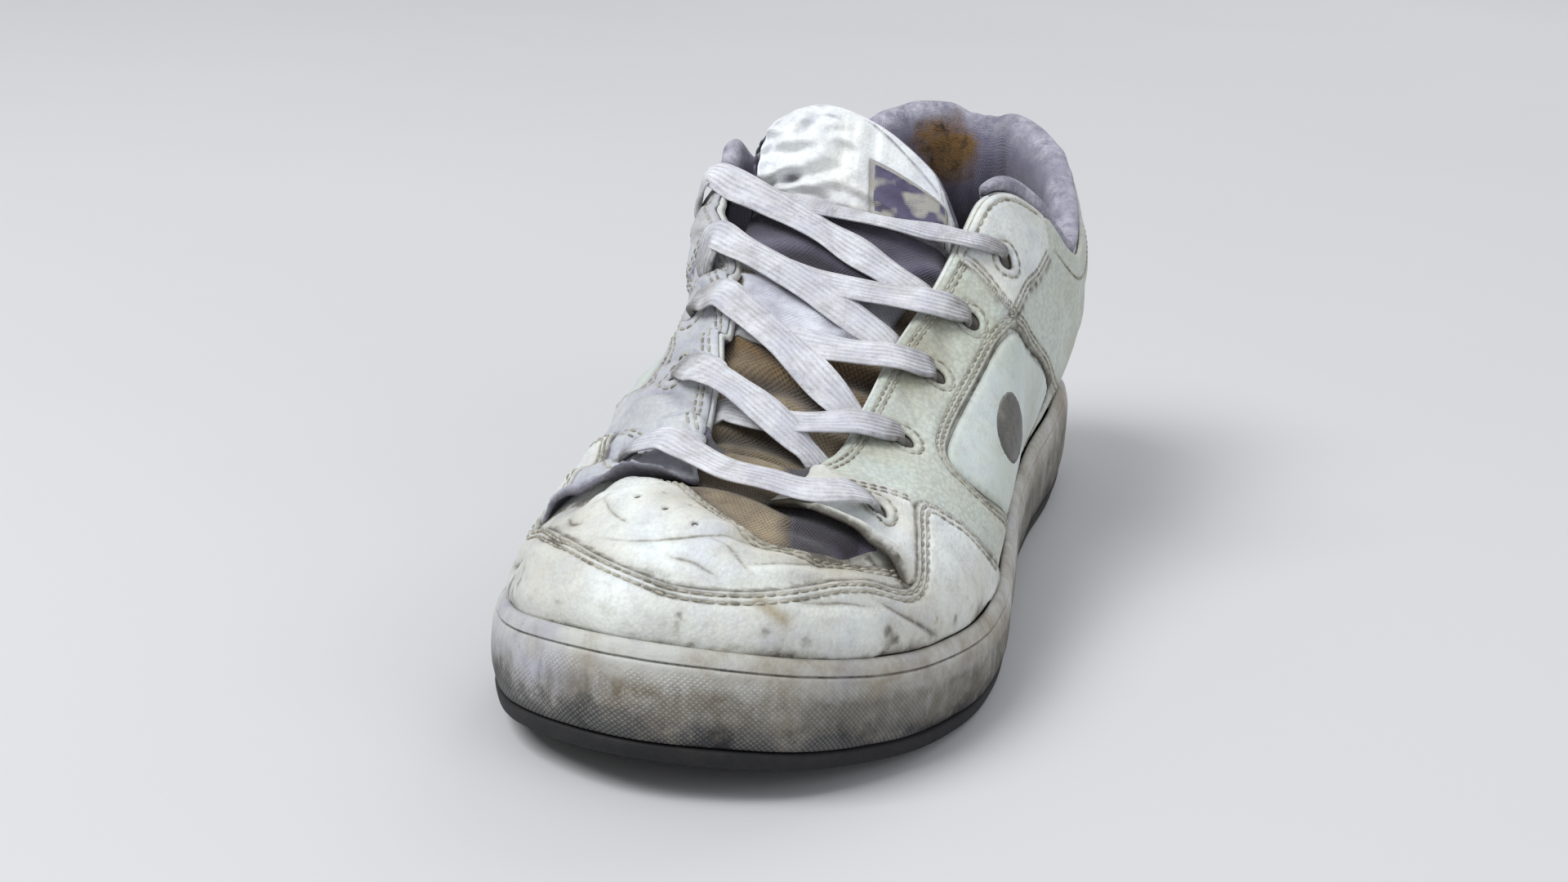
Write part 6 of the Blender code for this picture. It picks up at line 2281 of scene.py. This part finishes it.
@dataclass
class Laces:
    """Flat lace crossing the tongue, each strand rising out of its eyelet."""

    eyelets: tuple = EYELETS
    outer_edges: tuple = (0.588, 0.66, 0.735, 0.823)
    inner_edges: tuple = (1.462, 1.385, 1.275, 1.175)
    tucked: tuple = (0.64, 0.7, 0.797, 0.868)
    bar: tuple = ((0.87, 0.69, 3.0), (0.9, 0.705, 5.8), (0.935, 0.74, 6.6), (0.97, 0.765, 6.2), (1.01, 0.805, 5.4),
                  (1.062, 0.84, 6.2), (1.092, 0.82, 6.4), (1.116, 0.76, 5.2), (1.134, 0.7, 2.8))
    width: float = 9.4
    thickness: float = 1.4
    clearance: float = 1.3
    overlay: float = 1.2
    stations: int = 90
    around: int = 20

    def over_leather(self, path: Sequence) -> tuple[Array, Array]:
        """Points and facings of places over the worn skin.

        Args:
            path: Rows of u, v and height over the worn skin in mm.

        Returns:
            Points in mm and outward directions.
        """
        u, v, high = np.array(path, float).T
        return LAST.lay(u, v, high + WEAR.relief(LAST.skin(u, v))), LAST.slopes(u, v)[2]

    def lead(self, eyelet: tuple, edge: float) -> tuple[Array, Array]:
        """Part of a strand that rises out of its eyelet and passes over the throat edge.

        Args:
            eyelet: Section place of the eyelet.
            edge: Place round the shoe where it crosses the edge.

        Returns:
            Points in mm and outward directions.
        """
        u, v = eyelet
        high = self.overlay + self.clearance + self.thickness / 2
        path = [(u + (edge - u) * 0.03, v + 0.004, -1.4), (u + (edge - u) * 0.17, v + 0.03, high - 0.9),
                (u + (edge - u) * 0.55, v + (1 - v) * 0.5, high), (edge, 1.0, high + 0.9)]
        points, facing = self.over_leather(path)
        facing[-1] = (facing[-1] + np.array([0, -0.35, 0.94])) / 2
        return points, facing

    def bar_line(self) -> tuple[Array, Array, Array]:
        """Middle line of the front bar, lying over both wings from eyelet to eyelet.

        Returns:
            Points, the way its face looks and its width share.
        """
        outer = self.eyelets[4]
        path = [(outer[0] - 0.004, outer[1] - 0.015, -1.2), *self.bar, (2.004 - outer[0], outer[1] - 0.015, -1.2)]
        points, facing = self.over_leather(path)
        widths = np.ones(len(path))
        widths[:3] = (0.4, 0.62, 0.9)
        widths[-3:] = (0.9, 0.62, 0.4)
        return points, facing, widths

    def centre_line(self, row: int, over: bool) -> tuple[Array, Array, Array]:
        """Middle line of a crossing strand.

        Args:
            row: Number of the eyelet it rises from, counted from the top.
            over: Whether it is the upper strand, from the inner side, or the lower one.

        Returns:
            Points, the way its face looks and its width share.
        """
        above = np.array([[0, -0.35, 0.94]])
        u, v = self.eyelets[row]
        if over:
            lead, facing = self.lead((2 - u, v), self.inner_edges[row])
            far, crown, drop, inset = self.tucked[row], 2.2, -1.9, 3.4
        else:
            lead, facing = self.lead((u, v), self.outer_edges[row])
            far, crown, drop, inset = self.inner_edges[row] - 0.012, 0.2, -2.6, 2.0
        tail = LAST.lay([far, far], [1.0, 0.94], [drop, drop - 1.6])
        inward = lead[-1] - tail[0]
        tail[0] += inward / np.linalg.norm(inward) * inset
        tail_facing = LAST.slopes(np.array([far, far]), np.array([1.0, 0.94]))[2]
        share = np.linspace(0, 1, 8)[1:-1, None]
        span = lead[-1] + (tail[0] - lead[-1]) * share + above * crown * np.sin(math.pi * share)
        if not over:
            span += np.array([0, -0.94, -0.35]) * (2.6 if row else 0.5) * np.sin(math.pi * share)
        mix = np.sin(math.pi * share)
        span_facing = (facing[-1] * (1 - share) + tail_facing[0] * share) * (1 - mix) + above * mix
        widths = np.concatenate([(0.36, 0.62, 0.96, 1.0), np.ones(6), (1.0, 0.95)])
        return np.concatenate([lead, span, tail]), np.concatenate([facing, span_facing, tail_facing]), widths

    def ribbon(self, line: tuple, ends: tuple, seed: int,
               slim: float = 1.0) -> tuple[Array, list, Array, Array]:
        """Mesh of one strand.

        Args:
            line: Its middle points, facings and width shares.
            ends: Whether each end sits in an eyelet.
            seed: Number that picks its small twists.
            slim: Share of the full width.

        Returns:
            Points, faces, dirt and painted shade, and cloth places.
        """
        count, ring = self.stations, self.around
        centres, facing, widths = line
        at = np.linspace(0, 1, count)
        line = smooth_line(centres, at)
        face = smooth_line(facing, at)
        broad = np.clip(smooth_line(widths[:, None], at)[:, 0], 0.3, 1.05)
        step = np.gradient(line, axis=0)
        length = run_along(line)
        step = unit(step)
        side = np.cross(step, face)
        side = unit(side)
        up = np.cross(side, step)
        probe = np.stack([length, np.full(count, seed * 37.0), np.zeros(count)], axis=1)
        tilt = 0.2 * rough_noise(probe, 13.0, seed)
        side, up = side + up * tilt[:, None], up - side * tilt[:, None]
        half = self.width / 2 * broad * slim * (1 + 0.1 * rough_noise(probe, 9.0, seed + 5))
        thick = self.thickness / 2 * (1 + 0.8 * (1 - broad)) * (1 + 0.12 * rough_noise(probe, 6.0, seed + 9))
        turn = np.arange(ring) * 2 * math.pi / ring
        flat = np.sign(np.cos(turn)) * np.abs(np.cos(turn)) ** 0.55
        tall = np.sign(np.sin(turn)) * np.abs(np.sin(turn)) ** 0.75
        cup = 0.55 * rough_noise(probe, 12.0, seed + 13)
        lift = tall[None] * thick[:, None] + (flat[None] ** 2 - 0.5) * cup[:, None]
        reach = side[:, None] * (flat[None] * half[:, None])[..., None]
        points = line[:, None] + reach + up[:, None] * lift[..., None]
        faces = grid_quads(count, ring, True)
        faces.append(tuple(range(ring - 1, -1, -1)))
        faces.append(tuple((count - 1) * ring + i for i in range(ring)))
        # dirt and painted shade near the eyelets; painted shade where a strand tucks under and along its rounded
        # edges
        grime_and_shade = np.exp(-(length / 11.0) ** 1.8) * 0.95
        if ends[1]:
            grime_and_shade = np.maximum(grime_and_shade, grime_and_shade[::-1])
        else:
            grime_and_shade = np.maximum(grime_and_shade, 0.55 * np.exp(-((length[-1] - length) / 7.0) ** 1.6))
        edges = 0.25 * np.abs(flat) ** 6
        cloth = np.stack([np.repeat(length, ring), np.tile(flat * self.width / 2, count)], axis=1)
        return points.reshape(-1, 3), faces, (grime_and_shade[:, None] + edges[None]).ravel(), cloth

    def build(self, cotton: Material) -> None:
        """Make the bar and the crossings.

        Args:
            cotton: Their finish.
        """
        jobs = [("lace_bar", [self.ribbon(self.bar_line(), (True, True), 1)])]
        for row in range(4):
            over = self.ribbon(self.centre_line(row, True), (True, False), 11 + row)
            below = self.ribbon(self.centre_line(row, False), (True, False), 21 + row, 0.95 if row else 0.55)
            jobs.append((f"lace_cross_{row + 1}", [over, below]))
        for node, strands in jobs:
            points, faces, grime_and_shade, cloth, start = [], [], [], [], 0
            for p, f, d, c in strands:
                points.append(p)
                faces += [tuple(i + start for i in face) for face in f]
                grime_and_shade.append(d)
                cloth.append(c)
                start += len(p)
            Piece(node + "_braid", np.concatenate(points), faces, [cotton], {Mask.GRIME_AND_SHADE: np.concatenate(grime_and_shade)},
                  np.concatenate(cloth)).make((node,), "lace_cotton")


@dataclass
class Studio:
    """Pale floor, soft lights and the camera at the photograph's angle.

    Attributes:
        eye: Camera place in mm.
        azimuth: Turn round the shoe in degrees.
        elevation: Height angle in degrees.
        roll: Roll in degrees.
        pixel: Photograph pixel that the camera looks at, from its middle.
        photo_focal: Focal length of the photograph in pixels.
        zoom: How much longer the render's focal length is.
    """

    eye: tuple = (147.4, -582.0, 214.8)
    azimuth: float = 24.02
    elevation: float = 15.09
    roll: float = 1.38
    pixel: tuple = (180.0, 41.0)
    photo_focal: float = 1304.0
    zoom: float = 2.3

    def place_camera(self) -> None:
        """Make the camera and set it as the scene's."""
        az, el, roll = (math.radians(a) for a in (self.azimuth, self.elevation, self.roll))
        back = Vector((math.sin(az) * math.cos(el), -math.cos(az) * math.cos(el), math.sin(el)))
        right = Vector((math.cos(az), math.sin(az), 0))
        up = back.cross(right)
        turned_right = right * math.cos(roll) + up * math.sin(roll)
        turned_up = up * math.cos(roll) - right * math.sin(roll)
        right_share, down_share = (pixel / self.photo_focal for pixel in self.pixel)
        look = turned_right * right_share - turned_up * down_share - back
        z_axis = -look.normalized()
        x_axis = turned_up.cross(z_axis).normalized()
        y_axis = z_axis.cross(x_axis)
        data = bpy.data.cameras.new("camera")
        data.sensor_width = 36.0
        data.lens = 36.0 * self.photo_focal * self.zoom / 1920
        data.clip_start = 0.01
        camera = bpy.data.objects.new("camera", data)
        matrix = Matrix((x_axis, y_axis, z_axis)).transposed().to_4x4()
        matrix.translation = Vector(self.eye) * MM
        camera.matrix_world = matrix
        bpy.context.scene.collection.objects.link(camera)
        bpy.context.scene.camera = camera

    def place_light(self, name: str, place: tuple, size: float, power: float, colour: str) -> None:
        """Add a soft area light that looks at the shoe.

        Args:
            name: Name of the light.
            place: Place in metres.
            size: Width of the light in metres.
            power: Power in watts.
            colour: Hex colour.
        """
        data = bpy.data.lights.new(name, "AREA")
        data.size = size
        data.energy = power
        data.color = linear(colour)[:3]
        light = bpy.data.objects.new(name, data)
        light.location = place
        light.rotation_euler = (Vector((0, 0, 0.05)) - Vector(place)).to_track_quat("-Z", "Y").to_euler()
        bpy.context.scene.collection.objects.link(light)

    def build(self) -> None:
        """Make the floor, the lights, the sky and the camera."""
        side = np.linspace(-6000, 6000, 25)
        x, y = np.meshgrid(side, side, indexing="ij")
        mesh = bpy.data.meshes.new("floor")
        points = np.stack([x.ravel(), y.ravel(), np.zeros(x.size)], axis=1) * MM
        mesh.from_pydata(points.tolist(), [], grid_quads(25, 25))
        mesh.materials.append(Board().material())
        floor = bpy.data.objects.new("floor", mesh)
        floor.location.z = -0.0002
        bpy.context.scene.collection.objects.link(floor)
        self.place_light("key", (-1.0, -1.1, 2.0), 1.2, 52.0, "#F9FCFF")
        self.place_light("fill", (1.9, -0.9, 1.1), 1.6, 10.0, "#F1F5FF")
        self.place_light("back", (0.3, 1.9, 1.4), 1.5, 14.0, "#F6F8FF")
        world = bpy.context.scene.world or bpy.data.worlds.new("sky")
        bpy.context.scene.world = world
        world.use_nodes = True
        sky = world.node_tree.nodes["Background"]
        sky.inputs["Color"].default_value = linear("#E6E7EA")
        sky.inputs["Strength"].default_value = 0.56
        bpy.context.scene.view_settings.view_transform = "Standard"
        self.place_camera()


def build_upper(dirt_and_shade: DirtAndShadeLines, finishes: dict) -> None:
    """Build the body of the upper and all its panels.

    Args:
        dirt_and_shade: Lines along which dirt settles and shade is painted.
        finishes: Materials by name.
    """
    panels = UpperPanels()
    front, vamp, heel = panels.front(), panels.vamp(), panels.heel()
    sides = {
        "wing": (panels.wing(), finishes["leather"]),
        "quarter": (panels.quarter(), finishes["milled"]),
        "eyestay_top": (panels.eyestay_top(), finishes["leather"]),
    }
    for line, sides_shown in panels.open_edges():
        for side in sides_shown:
            path = cut_corners(resample(side.path(line), 4.0), 3, False)
            dirt_and_shade.add(resample(path, 0.5))
    UpperBase().build(finishes["leather"], finishes["mesh"], finishes["lining"], dirt_and_shade, panels.eyelets)
    front.build(Side.OUTER, finishes["leather"], ("mudguard",), "worn_leather", dirt_and_shade)
    vamp.build(Side.OUTER, finishes["leather"], (), "worn_leather", dirt_and_shade)
    heel.build(Side.OUTER, finishes["milled"], ("heel_panel",), "tumbled_leather", dirt_and_shade)
    flat = ((panels.window_piece(), finishes["inlay"]), (panels.mark(), finishes["print"]))
    for side in Side:
        for node, (panel, finish) in sides.items():
            named = replace(panel, name=f"{panel.name}_{side.value}")
            slot = "tumbled_leather" if node == "quarter" else "worn_leather"
            chosen = finishes["crumpled"] if side is Side.INNER else finish
            named.build(side, chosen, (f"{node}_{side.value}",), slot, dirt_and_shade)
        for panel, finish in flat:
            replace(panel, name=f"{panel.name}_{side.value}").build(side, finish, (), "worn_leather", dirt_and_shade)


def main() -> None:
    """Build the shoe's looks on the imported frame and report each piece."""
    logging.basicConfig(level=logging.INFO, format="%(message)s")
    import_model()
    finishes = {
        # pressed and coated: the palest and smoothest skin, yellowing in patches
        "leather": Leather("coated cowhide, worn").material(),
        # tumbled until its grain stands up: matt, greenish, with dust between the pebbles
        "milled": Leather("milled cowhide, worn", "#CDD5CB", "#C3C8B8", "#BFC9C7", 1.3, 0.16, 0.26).material(),
        "inlay": Leather("smooth cowhide, greyed", "#D0D9D4", "#C6CEC4", "#C2CED1", 0.7, 0.05, 0.06).material(),
        "print": Leather("cowhide printed dark grey", "#55554F", "#4B4A45", "#5E5E5C", 0.8, 0.06, 0.2,
                         "#3A3833").material(),
        "mesh": Cloth("spacer mesh, soiled", "#A59579", "#6A5C4A", 1.3, 0.3, "#8A6A3C", 0.2, 0.5).material(),
        # brushed to a lilac nap, bleached with a painted highlight along the crest, and stained brown inside the heel
        "lining": Cloth("brushed lining knit, faded", "#918DA2", "#6E6880", 0.9, 0.22, "#906A2A",
                        mould=0.9).material(),
        "label": Cloth("woven label satin", "#6C687F", "#4D4861", 0.7, 0.14, "#AFACA3", 0.1).material(),
        "edging": Cloth("cream woven edging", "#B9B7B0", "#8F8C90", 0.7, 0.12, "#A8A59A", 0.1).material(),
        "keeper": Cloth("woven tape, grey", "#E2E4EC", "#A5A4B0", 0.9, 0.15, fuzz=0.2).material(),
        # its dark and film colours are lavender grey, mostly for the painted shade in the tongue's creases
        "pad": Leather("padded cowhide, cream", "#F4F8F8", "#E8EAE6", "#CDD0DB", 0.9, 0.1, 0.08,
                       "#5E5B63", "#A3A2AF").material(),
        # the inner side's leather, greyed lilac: partly painted shade of the side turned from the light
        "crumpled": Leather("milled cowhide, crumpled", "#D0D5D7", "#BABBBC", "#9B9DAE", 1.2, 0.14, 0.14,
                            "#5F5C66", "#9292A1").material(),
    }
    Studio().build()
    dirt_and_shade = DirtAndShadeLines()
    build_upper(dirt_and_shade, finishes)
    sole = Sole()
    sole.build_wall(Rubber().material())
    sole.build_tread(Tread().material())
    sole.build_insole(Foam().material())
    Collar().build(finishes["lining"])
    tongue = Tongue()
    tongue.build(finishes["pad"], finishes["mesh"], finishes["lining"])
    tongue.plate("tongue_label_woven", (0.71, 0.84), (0.1, 0.42), 0.9, [finishes["label"], finishes["edging"]],
                 "tongue_label", 0.1)
    tongue.plate("lace_keeper_tape", (0.42, 0.535), (0.24, 0.8), 0.7, [finishes["keeper"], finishes["keeper"]],
                 "lace_keeper")
    Laces().build(Braid().material())


if __name__ == "__main__":
    main()
